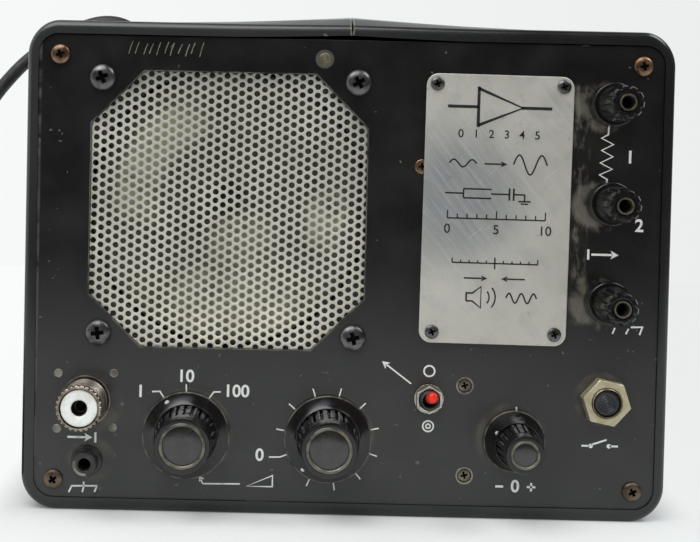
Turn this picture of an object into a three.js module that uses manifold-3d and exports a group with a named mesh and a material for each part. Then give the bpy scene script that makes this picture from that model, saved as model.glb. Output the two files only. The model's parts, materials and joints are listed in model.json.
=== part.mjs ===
// Bench power amplifier with a built-in loudspeaker, in millimetres, +Z up.
// The front panel faces -Y and the origin is the centre of the flat base.
import * as THREE from 'three';
import { mergeVertices } from 'three/addons/utils/BufferGeometryUtils.js';
import Module from 'manifold-3d';

const wasm = await Module();
wasm.setup();

// Case
const caseWidth = 212;
const caseHeight = 160;
const caseDepth = 120;
const sleeveWall = 3.3;
const cornerRadius = 10.2;
const rimRound = 1.5;
const rimLift = 1.2;
const crownLift = 7.2;
const seamGap = 0.7;
const rimSpanShare = 0.36;
const crownSpanShare = 0.48;
const crownPowerShare = 0.8;

// Panels
const panelGap = 0.5;
const panelThickness = 2;
const panelInset = 0.6;
const chassisThickness = 1.2;
const chassisGap = 1;
const chassisWallHeight = 38;
const lugSize = 12;

// Fits
const gap = 0.25;
const fit = 0.3;
const overrun = 1;
const weldDistance = 1e-4;

// Screws
const panelScrewInsetX = 6.95;
const panelScrewInsetY = 6.35;
const panelScrewHead = 3.25;
const panelScrewDome = 1.5;
const panelScrewShank = 1.9;
const panelScrewLength = 9;
const speakerScrewHead = 4.15;
const speakerScrewDome = 2.2;
const speakerScrewShank = 1.9;
const speakerScrewLength = 9;
const slotWidth = 0.9;
const slotSpan = 3.2;
const slotDepth = 1.1;

// Loudspeaker
const speakerPlaceShares = [-0.3865, 0.2717];
const speakerPitchShare = 0.925;
const openingShare = 0.5938;
const openingChamferShare = 0.1912;
const openingDrop = 1;
const grilleMargin = 4;
const grilleThickness = 0.8;
const grilleCorner = 6;
const grillePitch = 8;
const grilleHole = 5.4;
const flangeThickness = 1.2;
const basketRadiusShare = 0.5282;
const basketWindowShare = 0.3757;
const basketWall = 1.2;
const basketDepth = 25.8;
const magnetRadiusShare = 0.3315;
const magnetHeight = 20;
const poleRadius = 11.6;
const poleSlot = 2.1;
const poleSlotDepth = 13.5;
const coneGap = 0.7;
const coneStandoff = 2.3;
const coneDepth = 22.5;
const coneWall = 0.8;
const formerWall = 0.9;
const formerDepth = 17;
const capRadiusShare = 0.6;
const capDepthShares = [0.42, 0.48];
const coneFootShare = 0.66;

// Nameplate
const plateWidthShare = 0.2358;
const plateHeightShare = 0.5787;
const plateThickness = 0.8;
const plateCorner = 4;
const platePlaceShares = [0.4731, 0.288];

// Range and gain knobs
const rangeShare = -0.5059;
const rangeRise = 21.9;
const gainShare = -0.0499;
const gainRise = 21.6;
const knobSkirtRadius = 14.4;
const knobSkirtEdge = 1.1;
const knobShoulderRadius = 10.5;
const knobShoulderHeight = 3.2;
const knobGripRadius = 9.1;
const knobGripHeight = 14.2;
const knobNoseRadius = 7.9;
const knobHeight = 17.8;
const knobCapRadius = 7.4;
const knobDiscRadius = 5.95;
const knobFlutes = 26;

// Offset knob
const offsetShare = 0.5489;
const offsetRise = 22.3;
const offsetSkirtRadius = 10.2;
const offsetSkirtEdge = 0.9;
const offsetShoulderRadius = 7.6;
const offsetShoulderHeight = 8;
const offsetGripRadius = 6.1;
const offsetGripHeight = 17.6;
const offsetNoseRadius = 5;
const offsetHeight = 21.4;
const offsetCapRadius = 4.65;
const offsetDiscRadius = 3.3;
const offsetFlutes = 18;

// What all three knobs share
const knobLift = 0.6;
const knobFluteDepth = 0.7;
const knobCapThickness = 1.2;
const knobCapRecess = 0.5;
const knobWall = 2.2;
const bellShares = [0.42, 0.4];
const shaftRadius = 3.1;
const shaftFlat = 2.3;
const bushRadius = 4.6;
const bushHeight = 4.4;
const potRadius = 12;
const potDepth = 11;
const switchRadius = 15;
const switchDepth = 24;
const waferRadius = 17.5;
const waferThickness = 2;
const shaftTail = 6;

// Toggle switch
const toggleShare = 0.272;
const toggleRise = 35.6;
const toggleBodyWidth = 8;
const toggleBodyHeight = 13;
const toggleBodyDepth = 9.5;
const toggleBushRadius = 3.15;
const toggleBushHeight = 4.6;
const toggleBore = 2.4;
const toggleNutFlats = 8;
const toggleNutHeight = 1.9;
const toggleWasherRadius = 4.85;
const toggleWasherHeight = 0.5;
const leverPivotHeight = 1;
const leverLength = 12.6;
const leverTail = 4;
const leverTailShare = 0.8;
const leverRadius = 1;
const leverBall = 1.7;
const leverTipRadius = 2.05;
const leverTipLength = 6.9;
const leverTilt = THREE.MathUtils.degToRad(13);

// Thermal cut-out
const breakerShare = 0.8346;
const breakerRise = 36.2;
const breakerBodyWidth = 16;
const breakerBodyHeight = 32;
const breakerBodyDepth = 30;
const breakerBushRadius = 4.95;
const breakerBushHeight = 5.4;
const breakerNutFlats = 14;
const breakerNutHeight = 4.5;
const breakerNutTurn = THREE.MathUtils.degToRad(-11.7);
const buttonRadius = 4.25;
const buttonHeight = 4.9;
const buttonTail = 6;
const buttonStep = 0.35;

// Input socket
const inputShare = -0.8327;
const inputRise = 32.4;
const inputBarrelRadius = 7.4;
const inputThreadRadius = 7;
const inputHeight = 14;
const inputCrown = 1.6;
const inputTeeth = 26;
const inputToothDepth = 0.5;
const inputBore = 6.3;
const inputFlange = 24;
const inputFlangeThickness = 1.6;
const inputTail = 8;
const insulatorRadius = 6;
const insulatorHole = 2.6;
const insulatorRecess = 0.4;
const insulatorHoleDepth = 12;

// Earth socket
const earthShare = -0.8249;
const earthRise = 12.6;
const earthCollarRadius = 5.9;
const earthCollarHeight = 1.4;
const earthRadius = 3.9;
const earthHeight = 6;
const earthTail = 16;
const socketBore = 2.05;
const socketDepth = 18;

// Output terminals
const terminalPlaceShares = [[0.8297, 0.748], [0.8297, 0.3255], [0.8297, -0.0971]];
const terminalBaseRadius = 6.9;
const terminalBaseHeight = 7;
const terminalHeight = 22.9;
const terminalTubeRadius = 2.75;
const terminalTail = 12;
const terminalTailRadius = 3.2;
const washerRadius = 4.7;
const washerThickness = 0.8;
const headFootRadius = 5.9;
const headNoseRadius = 5.4;
const headSetback = 0.7;
const headFlutes = 10;
const headFluteDepth = 0.6;

// Rear
const heatSinkWidth = 138;
const heatSinkHeight = 96;
const heatSinkBase = 3;
const heatSinkFin = 17;
const heatSinkFins = 12;
const heatSinkFinRoot = 2.4;
const heatSinkFinTip = 1.5;
const heatSinkPlaceShare = 0.22;
const glandPlaceShares = [-0.745, 0.49];
const glandFlangeRadius = 9;
const glandFlangeThickness = 3;
const glandNeckRadius = 6;
const glandTipRadius = 4.1;
const glandLength = 31;
const glandHole = 6.3;
const glandRibs = 3;
const glandRibDepth = 0.7;
const glandTail = 6;

// Transformer and circuit board
const coreWidth = 66;
const coreHeight = 55;
const coreStack = 26;
const coreLeg = 22;
const coreYoke = 11;
const windingOverhang = 9;
const corePlaceShare = 0.53;
const coreClearance = 3;
const boardWidth = 92;
const boardDepth = 44;
const boardThickness = 1.6;
const boardHeight = 9;
const boardClearance = 5.4;
const boardSideClearance = 7;
const pillarRadius = 3;
const pillarInset = 6;
const capacitorRadius = 9;
const capacitorHeight = 30;
const capacitorPlaceShares = [1.3, 1 / 6];
const chipPlaceShares = [0.33, 1 / 5];

// Mains lead, its coil and its plug
const cordRadius = 3;
const cordLift = 0.85;
const coilCentreX = -208;
const coilCentreY = 38;
const coilRadius = 36;
const coilTurns = 6;
const coilTubeGap = 0.5;
const coilTail = 52;
const tailRiseShares = [0.38, 0.88];
const tieThickness = 0.5;
const tieWidth = 7;
const plugWidth = 50;
const plugLength = 50;
const plugThickness = 17;
const plugCorner = 8;
const plugNeckWidth = 18;
const plugShoulder = 12;
const plugBaseThickness = 4;
const plugLift = 0.1;
const pinThickness = 4;
const pinWidth = 6.4;
const pinLength = 17.7;
const pinPitch = 22.2;
const earthPinWidth = 8;
const earthPinLength = 22.7;
const pinSetback = 15;

// Points of the lead that is not coiled, from the gland over the case's corner to the coil
const cordRoute = [
  [-77.5, 99, 117.5],
  [-77.5, 108, 118.6],
  [-77.7, 117, 123],
  [-78.1, 123.5, 131],
  [-78.7, 125.5, 141],
  [-80, 124.5, 151],
  [-82.6, 122.5, 161],
  [-87.6, 120.8, 170.4],
  [-95, 119.6, 176.6],
  [-104, 118.8, 179],
  [-115, 118, 176.9],
  [-127, 116.6, 171.2],
  [-139, 114.8, 162.2],
  [-149.5, 112.8, 151.2],
  [-158.5, 110.5, 138],
  [-165.2, 107.8, 123],
  [-169.4, 105, 106.5],
  [-171.6, 102.2, 91],
  [-171.6, 98.8, 76],
  [-170.6, 94.6, 62],
  [-168.8, 89.8, 48.5],
  [-166.6, 84.6, 36.6],
  [-164.8, 78.4, 27],
  [-163.4, 70.2, 18.8],
  [-162.5, 60.2, 13],
];

// Sides of round shapes
const cornerSteps = 4;
const holeSides = 12;
const screwSides = 8;
const turnSides = 20;
const smallSides = 10;
const cordSides = 8;
const cordSteps = 28;
const coilSides = 6;
const coilStepsPerTurn = 24;

// Sizes that follow from the ones above
const panelWidth = caseWidth - 2 * (sleeveWall + panelGap);
const panelHeight = caseHeight - 2 * (sleeveWall + panelGap);
const panelCorner = cornerRadius - sleeveWall - panelGap;
const panelFaceY = -caseDepth / 2 + panelInset;
const rearFaceY = caseDepth / 2 - panelInset;
const behindPanel = -(panelThickness + gap);
const openingSize = openingShare * panelHeight;
const openingChamfer = openingChamferShare * openingSize;
const speakerPitch = speakerPitchShare * openingSize;
const basketRadius = basketRadiusShare * openingSize;
const basketWindow = basketWindowShare * openingSize;
const magnetRadius = magnetRadiusShare * openingSize;
const coneRadius = basketRadius - basketWall - coneGap;
const plateWidth = plateWidthShare * panelWidth;
const plateHeight = plateHeightShare * panelHeight;

// Finishes
function finish(color, roughness, metalness) {
  return new THREE.MeshStandardMaterial({ color, roughness, metalness });
}
const blackPlastic = finish(0x26292b, 0.45, 0);
const blackPaint = finish(0x2c2d2e, 0.5, 0.1);
const knobPlastic = finish(0x1d1e1f, 0.3, 0);
const capMetal = finish(0x8c8a6c, 0.4, 0.8);
const grilleMetal = finish(0xbdbab0, 0.5, 0.4);
const plateMetal = finish(0xb6b6b2, 0.35, 0.9);
const steel = finish(0x9b9b98, 0.4, 0.8);
const darkSteel = finish(0x55565a, 0.35, 0.8);
const brass = finish(0xa98f63, 0.45, 0.7);
const zinc = finish(0xbdb893, 0.35, 0.8);
const white = finish(0xeef0f0, 0.4, 0);
const redPlastic = finish(0xe23c28, 0.35, 0);
const paper = finish(0x8f8674, 0.9, 0);
const boardGreen = finish(0x39563a, 0.6, 0);
const copper = finish(0x9a5a34, 0.5, 0.4);
const flex = finish(0x1f2021, 0.5, 0);

// Solid modelling helpers

// A closed mesh with shared vertices merged and its faces turned outwards, as a solid
function solid(geometry) {
  const bare = geometry.clone();
  bare.deleteAttribute('normal');
  bare.deleteAttribute('uv');
  const merged = mergeVertices(bare, weldDistance);
  const places = merged.attributes.position.array;
  const corners = merged.index.array;
  const a = new THREE.Vector3();
  const b = new THREE.Vector3();
  const c = new THREE.Vector3();
  const kept = [];
  let volume = 0;
  for (let i = 0; i < corners.length; i += 3) {
    const [p, q, r] = [corners[i], corners[i + 1], corners[i + 2]];
    if (p === q || q === r || r === p) continue;
    a.fromArray(places, 3 * p);
    b.fromArray(places, 3 * q);
    c.fromArray(places, 3 * r);
    volume += a.dot(b.cross(c));
    kept.push([p, q, r]);
  }
  const turned = volume < 0 ? kept.map(([p, q, r]) => [p, r, q]) : kept;
  return new wasm.Manifold(new wasm.Mesh({
    numProp: 3,
    vertProperties: Float32Array.from(places),
    triVerts: Uint32Array.from(turned.flat()),
  }));
}

function surface(body) {
  const mesh = body.getMesh();
  const geometry = new THREE.BufferGeometry();
  geometry.setAttribute('position', new THREE.BufferAttribute(mesh.vertProperties.slice(), 3));
  geometry.setIndex(new THREE.BufferAttribute(mesh.triVerts.slice(), 1));
  geometry.computeVertexNormals();
  return geometry;
}

function join(...bodies) {
  return bodies.reduce((whole, body) => whole.add(body));
}

function arc(x, y, radius, from, to, steps) {
  const points = [];
  for (let i = 0; i <= steps; i += 1) {
    const angle = from + (to - from) * i / steps;
    points.push(new THREE.Vector2(x + radius * Math.cos(angle), y + radius * Math.sin(angle)));
  }
  return points;
}

function circle(x, y, radius, sides) {
  return arc(x, y, radius, 0, 2 * Math.PI * (1 - 1 / sides), sides - 1);
}

function roundedRectangle(width, height, radius, steps) {
  const x = width / 2 - radius;
  const y = height / 2 - radius;
  const quarter = Math.PI / 2;
  return [
    ...arc(x, y, radius, 0, quarter, steps),
    ...arc(-x, y, radius, quarter, 2 * quarter, steps),
    ...arc(-x, -y, radius, 2 * quarter, 3 * quarter, steps),
    ...arc(x, -y, radius, 3 * quarter, 4 * quarter, steps),
  ];
}

function rectangle(width, height, x, y) {
  const corners = [[1, 1], [-1, 1], [-1, -1], [1, -1]];
  return corners.map(([u, v]) => new THREE.Vector2(x + u * width / 2, y + v * height / 2));
}

function chamferedSquare(x, y, size, chamfer) {
  const far = size / 2;
  const near = far - chamfer;
  const corners = [[far, near], [near, far], [-near, far], [-far, near]];
  const turned = corners.map(([u, v]) => [-u, -v]);
  return [...corners, ...turned].map(([u, v]) => new THREE.Vector2(x + u, y + v));
}

// A flat sheet drawn in x and y, from z = base upwards
function sheet(outline, holes, thickness, base) {
  const shape = new THREE.Shape(outline);
  shape.holes = holes.map((points) => new THREE.Path(points));
  const geometry = new THREE.ExtrudeGeometry(shape, { depth: thickness, bevelEnabled: false });
  geometry.translate(0, 0, base);
  return solid(geometry);
}

function block(width, height, depth, x, y, base) {
  return sheet(rectangle(width, height, x, y), [], depth, base);
}

// A turned piece about z, from [radius, z] points that start and end on the axis or close on themselves
function turned(profile, sides) {
  const points = profile.map(([radius, z]) => new THREE.Vector2(radius, z));
  const geometry = new THREE.LatheGeometry(points, sides);
  geometry.rotateX(Math.PI / 2);
  return solid(geometry);
}

function tube(outer, inner, from, to, sides) {
  return turned([[inner, from], [outer, from], [outer, to], [inner, to], [inner, from]], sides);
}

function rod(radius, from, to, sides) {
  return turned([[0, from], [radius, from], [radius, to], [0, to]], sides);
}

// A skin through rings of equal counts of points, closed at both ends
function loft(rings) {
  const count = rings[0].length;
  const places = [];
  const faces = [];
  rings.flat().forEach((point) => places.push(point.x, point.y, point.z));
  for (let ring = 0; ring + 1 < rings.length; ring += 1) {
    for (let i = 0; i < count; i += 1) {
      const a = ring * count + i;
      const b = ring * count + (i + 1) % count;
      faces.push(a, b, b + count, a, b + count, a + count);
    }
  }
  [0, rings.length - 1].forEach((ring) => {
    const middle = new THREE.Vector3();
    rings[ring].forEach((point) => middle.addScaledVector(point, 1 / count));
    const centre = places.length / 3;
    places.push(middle.x, middle.y, middle.z);
    for (let i = 0; i < count; i += 1) {
      const a = ring * count + i;
      const b = ring * count + (i + 1) % count;
      faces.push(...(ring === 0 ? [centre, b, a] : [centre, a, b]));
    }
  });
  const geometry = new THREE.BufferGeometry();
  geometry.setAttribute('position', new THREE.Float32BufferAttribute(places, 3));
  geometry.setIndex(faces);
  return solid(geometry);
}

// A tapered grip with ribs and grooves, through [radius, z] stations
function fluted(stations, flutes, depth) {
  const sampleShares = [[0, -1], [0.5, 0]];
  return loft(stations.map(([radius, z]) => {
    const ring = [];
    for (let i = 0; i < flutes; i += 1) {
      sampleShares.forEach(([turnShare, depthShare]) => {
        const angle = 2 * Math.PI * (i + turnShare) / flutes;
        const reach = radius + depthShare * depth;
        ring.push(new THREE.Vector3(reach * Math.cos(angle), reach * Math.sin(angle), z));
      });
    }
    return ring;
  }));
}

function hexagon(flats, turn) {
  const points = circle(0, 0, flats / Math.sqrt(3), 6);
  return points.map((point) => point.rotateAround(new THREE.Vector2(), turn));
}

// A nut whose outer corners are turned down to a cone
function nut(flats, bore, height, turn, base) {
  const reach = flats / Math.sqrt(3);
  const flank = flats / 2;
  const edge = (reach - flank) / 2;
  const hex = sheet(hexagon(flats, turn), [circle(0, 0, bore, smallSides)], height, base);
  const cone = turned([
    [0, base - overrun],
    [reach + overrun, base - overrun],
    [reach + overrun, base + height - edge - overrun / 2],
    [flank, base + height],
    [0, base + height],
  ], turnSides);
  return hex.intersect(cone);
}

function cross(width, span, depth, top) {
  const base = top - depth;
  return join(
    block(span, width, depth + overrun, 0, 0, base),
    block(width, span, depth + overrun, 0, 0, base),
  );
}

// Assembly
const amplifier = new THREE.Group();

// Seen from the front, x is to the right, y is up and z comes out of the panel.
const face = new THREE.Group();
face.position.set(0, panelFaceY, caseHeight / 2);
face.rotation.x = Math.PI / 2;
amplifier.add(face);

// Seen from behind, z comes out of the rear panel.
const back = new THREE.Group();
back.position.set(0, rearFaceY, caseHeight / 2);
back.rotation.set(Math.PI / 2, Math.PI, 0);
amplifier.add(back);

function add(parent, name, body, material) {
  const mesh = new THREE.Mesh(surface(body), material);
  mesh.name = name;
  parent.add(mesh);
  return mesh;
}

function place([shareX, shareY]) {
  return [shareX * panelWidth / 2, shareY * panelHeight / 2];
}

// The lower controls keep their height above the panel's lower edge.
function lowPlace(shareX, rise) {
  return [shareX * panelWidth / 2, rise - panelHeight / 2];
}

const rangePlace = lowPlace(rangeShare, rangeRise);
const gainPlace = lowPlace(gainShare, gainRise);
const offsetPlace = lowPlace(offsetShare, offsetRise);
const togglePlace = lowPlace(toggleShare, toggleRise);
const breakerPlace = lowPlace(breakerShare, breakerRise);
const inputPlace = lowPlace(inputShare, inputRise);
const earthPlace = lowPlace(earthShare, earthRise);

function station(parent, x, y) {
  const group = new THREE.Group();
  group.position.set(x, y, 0);
  parent.add(group);
  return group;
}

// Sleeve

const topShares = [0, 0.09, 0.19, 0.31, 0.5, 1];
const depthShares = [0.13, 0.3, 0.5, 0.7, 0.87, 1];

function tent(share) {
  return share < 1 ? (1 - share) ** 1.2 : 0;
}

function seamLift(x, depthShare) {
  const half = caseWidth / 2;
  const crown = Math.sin(Math.PI * Math.min(depthShare, 1)) ** crownPowerShare;
  return rimLift * tent(Math.abs(x) / (half * rimSpanShare))
    + crownLift * Math.abs(crown) * tent(Math.abs(x) / (half * crownSpanShare));
}

// One side of the band from the seam to the middle of the base
function halfBand(inset, y, depthShare) {
  const cornerX = caseWidth / 2 - cornerRadius;
  const radius = cornerRadius - inset;
  const points = topShares.map((share) => {
    const x = seamGap / 2 + share * (cornerX - seamGap / 2);
    return new THREE.Vector3(x, y, caseHeight - inset + seamLift(x, depthShare));
  });
  const upper = arc(cornerX, caseHeight - cornerRadius, radius, Math.PI / 2, 0, cornerSteps);
  const lower = arc(cornerX, cornerRadius, radius, 0, -Math.PI / 2, cornerSteps);
  const bends = [...upper.slice(1), ...lower];
  bends.forEach((point) => points.push(new THREE.Vector3(point.x, y, point.y)));
  return points;
}

function band(inset, y, depthShare) {
  const right = halfBand(inset, y, depthShare);
  const middle = new THREE.Vector3(0, y, inset);
  const left = right.map((point) => new THREE.Vector3(-point.x, point.y, point.z)).reverse();
  return [...right, middle, ...left];
}

function makeSleeve() {
  const front = -caseDepth / 2;
  const roundShares = [[0, 0.8], [0.25, 0.3], [1, 0]];
  const stations = roundShares.map(([along, inset]) => [front + along * rimRound, inset * rimRound, 0]);
  depthShares.forEach((share) => stations.push([front + share * caseDepth, 0, share]));
  const places = [];
  const faces = [];
  let count = 0;
  stations.forEach(([y, inset, share]) => {
    const inner = sleeveWall - inset / 3;
    const loop = [...band(inset, y, share), ...band(inner, y, share).reverse()];
    count = loop.length;
    loop.forEach((point) => places.push(point.x, point.y, point.z));
  });
  for (let s = 0; s + 1 < stations.length; s += 1) {
    for (let i = 0; i < count; i += 1) {
      const a = s * count + i;
      const b = s * count + (i + 1) % count;
      faces.push(a, b, b + count, a, b + count, a + count);
    }
  }
  const last = (stations.length - 1) * count;
  for (let i = 0; i + 1 < count / 2; i += 1) {
    const [a, b, c, d] = [i, i + 1, count - 2 - i, count - 1 - i];
    faces.push(b, a, d, b, d, c);
    faces.push(last + a, last + b, last + c, last + a, last + c, last + d);
  }
  const geometry = new THREE.BufferGeometry();
  geometry.setAttribute('position', new THREE.Float32BufferAttribute(places, 3));
  geometry.setIndex(faces);
  add(amplifier, 'case_sleeve', solid(geometry), blackPlastic);
}

// Panels and chassis

const panelScrewX = panelWidth / 2 - panelScrewInsetX;
const panelScrewY = panelHeight / 2 - panelScrewInsetY;
const cornerSigns = [[-1, 1], [1, 1], [-1, -1], [1, -1]];
const [speakerX, speakerY] = place(speakerPlaceShares);
const speakerScrewPlaces = cornerSigns.map(([signX, signY]) => [
  speakerX + signX * speakerPitch / 2,
  speakerY + signY * speakerPitch / 2,
]);
const opening = chamferedSquare(speakerX, speakerY - openingDrop, openingSize, openingChamfer);
const grilleSize = openingSize + 2 * grilleMargin;

function makeFrontPanel() {
  const bores = [
    [...rangePlace, bushRadius + fit],
    [...gainPlace, bushRadius + fit],
    [...offsetPlace, bushRadius + fit],
    [...togglePlace, toggleBushRadius + fit],
    [...breakerPlace, breakerBushRadius + fit],
    [...inputPlace, inputBarrelRadius + inputToothDepth + fit],
    [...earthPlace, earthRadius + fit],
    ...terminalPlaceShares.map((shares) => [...place(shares), terminalTailRadius + fit]),
  ];
  const holes = bores.map(([x, y, radius]) => circle(x, y, radius, holeSides));
  cornerSigns.forEach(([signX, signY]) => {
    holes.push(circle(signX * panelScrewX, signY * panelScrewY, panelScrewShank + fit, screwSides));
  });
  speakerScrewPlaces.forEach(([x, y]) => holes.push(circle(x, y, speakerScrewShank + fit, screwSides)));
  const outline = roundedRectangle(panelWidth, panelHeight, panelCorner, cornerSteps);
  const panel = sheet(outline, [opening, ...holes], panelThickness, -panelThickness);
  add(face, 'front_panel', panel, blackPaint);
}

function makeRearPanel() {
  const outline = roundedRectangle(panelWidth, panelHeight, panelCorner, cornerSteps);
  const [glandX, glandY] = place(glandPlaceShares);
  const hole = circle(-glandX, glandY, glandHole, holeSides);
  add(back, 'rear_panel', sheet(outline, [hole], panelThickness, -panelThickness), blackPaint);
}

function makeChassis() {
  const halfWidth = panelWidth / 2 - chassisGap;
  const halfHeight = panelHeight / 2 - chassisGap;
  const length = rearFaceY - panelFaceY - 2 * (panelThickness + gap);
  const corner = panelCorner - chassisGap;
  const outer = roundedRectangle(2 * halfWidth, 2 * halfHeight, corner, cornerSteps / 2);
  const inner = roundedRectangle(
    2 * (halfWidth - chassisThickness),
    2 * (halfHeight - chassisThickness),
    corner - chassisThickness,
    cornerSteps / 2,
  );
  const start = behindPanel - length;
  let chassis = sheet(outer, [inner], length, start);
  const topWidth = 2 * (halfWidth - lugSize);
  const openTop = block(topWidth, lugSize, length + 2 * overrun, 0, halfHeight, start - overrun);
  chassis = chassis.subtract(openTop);
  const windowLow = chassisWallHeight - halfHeight;
  const windowHeight = halfHeight - windowLow + overrun;
  const windowLength = length - 2 * lugSize;
  const cut = block(
    2 * (halfWidth + overrun),
    windowHeight,
    windowLength,
    0,
    windowLow + windowHeight / 2,
    behindPanel - lugSize - windowLength,
  );
  chassis = chassis.subtract(cut);
  const lugX = halfWidth - lugSize / 2;
  const lugY = halfHeight - lugSize / 2;
  const whole = sheet(outer, [], length, start);
  cornerSigns.forEach(([signX, signY]) => {
    [behindPanel - chassisThickness, start].forEach((base) => {
      const lug = block(lugSize, lugSize, chassisThickness, signX * lugX, signY * lugY, base);
      const bore = rod(panelScrewShank + fit, base - overrun, base + chassisThickness + overrun, screwSides)
        .translate([signX * panelScrewX, signY * panelScrewY, 0]);
      chassis = chassis.add(lug.intersect(whole)).subtract(bore);
    });
  });
  const notchOutline = chamferedSquare(speakerX, speakerY, grilleSize + 2 * gap, grilleCorner);
  const notchDepth = grilleThickness + flangeThickness + 2 * gap;
  const notch = sheet(notchOutline, [], notchDepth + overrun, behindPanel - notchDepth);
  add(face, 'chassis', chassis.subtract(notch), steel);
}

function screw(head, dome, shank, length) {
  const profile = [[0, -length], [shank, -length], [shank, gap], [head, gap]];
  const domeShares = [[0.8, 0.7], [0, 1]];
  domeShares.forEach(([out, up]) => profile.push([out * head, gap + up * dome]));
  const body = turned(profile, smallSides);
  return body.subtract(cross(slotWidth, slotSpan, slotDepth, gap + dome));
}

function makeScrews() {
  const panelScrew = screw(panelScrewHead, panelScrewDome, panelScrewShank, panelScrewLength);
  const speakerScrew = screw(speakerScrewHead, speakerScrewDome, speakerScrewShank, speakerScrewLength);
  cornerSigns.forEach(([signX, signY], i) => {
    const corner = station(face, signX * panelScrewX, signY * panelScrewY);
    add(corner, `panel_screw_${i + 1}`, panelScrew, brass);
    const [x, y] = speakerScrewPlaces[i];
    add(station(face, x, y), `speaker_screw_${i + 1}`, speakerScrew, darkSteel);
  });
}

// Loudspeaker

function inside(points, x, y, margin) {
  return points.every((point, i) => {
    const next = points[(i + 1) % points.length];
    const edge = next.clone().sub(point);
    const away = edge.x * (y - point.y) - edge.y * (x - point.x);
    return away / edge.length() > margin;
  });
}

function grilleHoles() {
  const holes = [];
  const column = grillePitch * Math.sqrt(3) / 2;
  const reach = Math.ceil(openingSize / 2 / column);
  for (let i = -reach; i <= reach; i += 1) {
    for (let j = -reach; j <= reach; j += 1) {
      const x = speakerX + i * column;
      const y = speakerY - openingDrop + (j + (i % 2) / 2) * grillePitch;
      if (inside(opening, x, y, grilleHole / 2)) holes.push(circle(x, y, grilleHole / 2, 6));
    }
  }
  return holes;
}

function makeLoudspeaker() {
  const outline = chamferedSquare(speakerX, speakerY, grilleSize, grilleCorner);
  const bores = speakerScrewPlaces.map(([x, y]) => circle(x, y, speakerScrewShank + fit, screwSides));
  const grilleBack = behindPanel - grilleThickness;
  const grille = sheet(outline, [...bores, ...grilleHoles()], grilleThickness, grilleBack);
  add(face, 'speaker_grille', grille, grilleMetal);

  const flangeFront = grilleBack - gap;
  const inner = basketRadius - basketWall;
  const flangeHole = circle(speakerX, speakerY, inner, turnSides);
  const flange = sheet(outline, [...bores, flangeHole], flangeThickness, flangeFront - flangeThickness);
  const outerShares = [[1, 0], [1, 0.3], [0.68, 0.93], [0.66, 1]];
  const profile = outerShares.map(([out, down]) => [out * basketRadius, flangeFront - down * basketDepth]);
  const floor = flangeFront - basketDepth;
  const hub = poleRadius + poleSlot + overrun;
  profile.push([hub, floor], [hub, floor + basketWall]);
  const innerShares = [[0.68, 0.91], [1, 0.3], [1, 0]];
  innerShares.forEach(([out, down]) => {
    profile.push([out * basketRadius - basketWall, flangeFront - down * basketDepth]);
  });
  profile.push(profile[0]);
  let basket = turned(profile, turnSides).translate([speakerX, speakerY, 0]).add(flange);
  const windowTop = flangeFront - basketDepth / 3;
  const windowBase = floor + 2 * basketWall;
  [0, 1].forEach((turn) => {
    const spans = [2 * (basketRadius + overrun), basketWindow];
    const [width, height] = turn ? spans : spans.reverse();
    const bar = block(width, height, windowTop - windowBase, speakerX, speakerY, windowBase);
    basket = basket.subtract(bar);
  });
  add(face, 'speaker_frame', basket, darkSteel);

  const motor = station(face, speakerX, speakerY);
  const top = floor - gap;
  const slotOuter = poleRadius + poleSlot;
  const magnetEnd = top - magnetHeight;
  const magnet = turned([
    [0, top], [poleRadius, top], [poleRadius, top - poleSlotDepth], [slotOuter, top - poleSlotDepth],
    [slotOuter, top], [magnetRadius, top], [magnetRadius, magnetEnd], [0, magnetEnd],
  ], turnSides);
  add(motor, 'speaker_magnet', magnet, darkSteel);

  const crest = grilleBack - coneStandoff;
  const formerOuter = poleRadius + (poleSlot + formerWall) / 2;
  const formerInner = formerOuter - formerWall;
  const frontShares = [[1, 0.1], [0.94, 0], [0.87, 0.08]];
  const coneFoot = crest - coneFootShare * coneDepth;
  const [capTop, capEdge] = capDepthShares.map((share) => crest - share * coneDepth);
  const capRadius = capRadiusShare * formerInner;
  const front = [[0, capTop], [capRadius, capEdge], [formerOuter, coneFoot]];
  [...frontShares].reverse().forEach(([out, down]) => {
    front.push([out * coneRadius, crest - down * coneDepth]);
  });
  const rear = [...front].reverse().slice(0, -2).map(([out, z]) => [out, z - coneWall]);
  const cone = turned([
    ...front,
    ...rear.slice(0, -1),
    [formerOuter, coneFoot - coneWall],
    [formerOuter, coneFoot - formerDepth],
    [formerInner, coneFoot - formerDepth],
    [formerInner, coneFoot - coneWall],
    [capRadius, capEdge - coneWall],
    [0, capTop - coneWall],
  ], turnSides);
  add(motor, 'speaker_cone', cone, paper);
}

function makeNameplate() {
  const [x, y] = place(platePlaceShares);
  const outline = roundedRectangle(plateWidth, plateHeight, plateCorner, cornerSteps);
  add(station(face, x, y), 'nameplate', sheet(outline, [], plateThickness, gap), plateMetal);
}

// Knobs, shafts and what they turn

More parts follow.
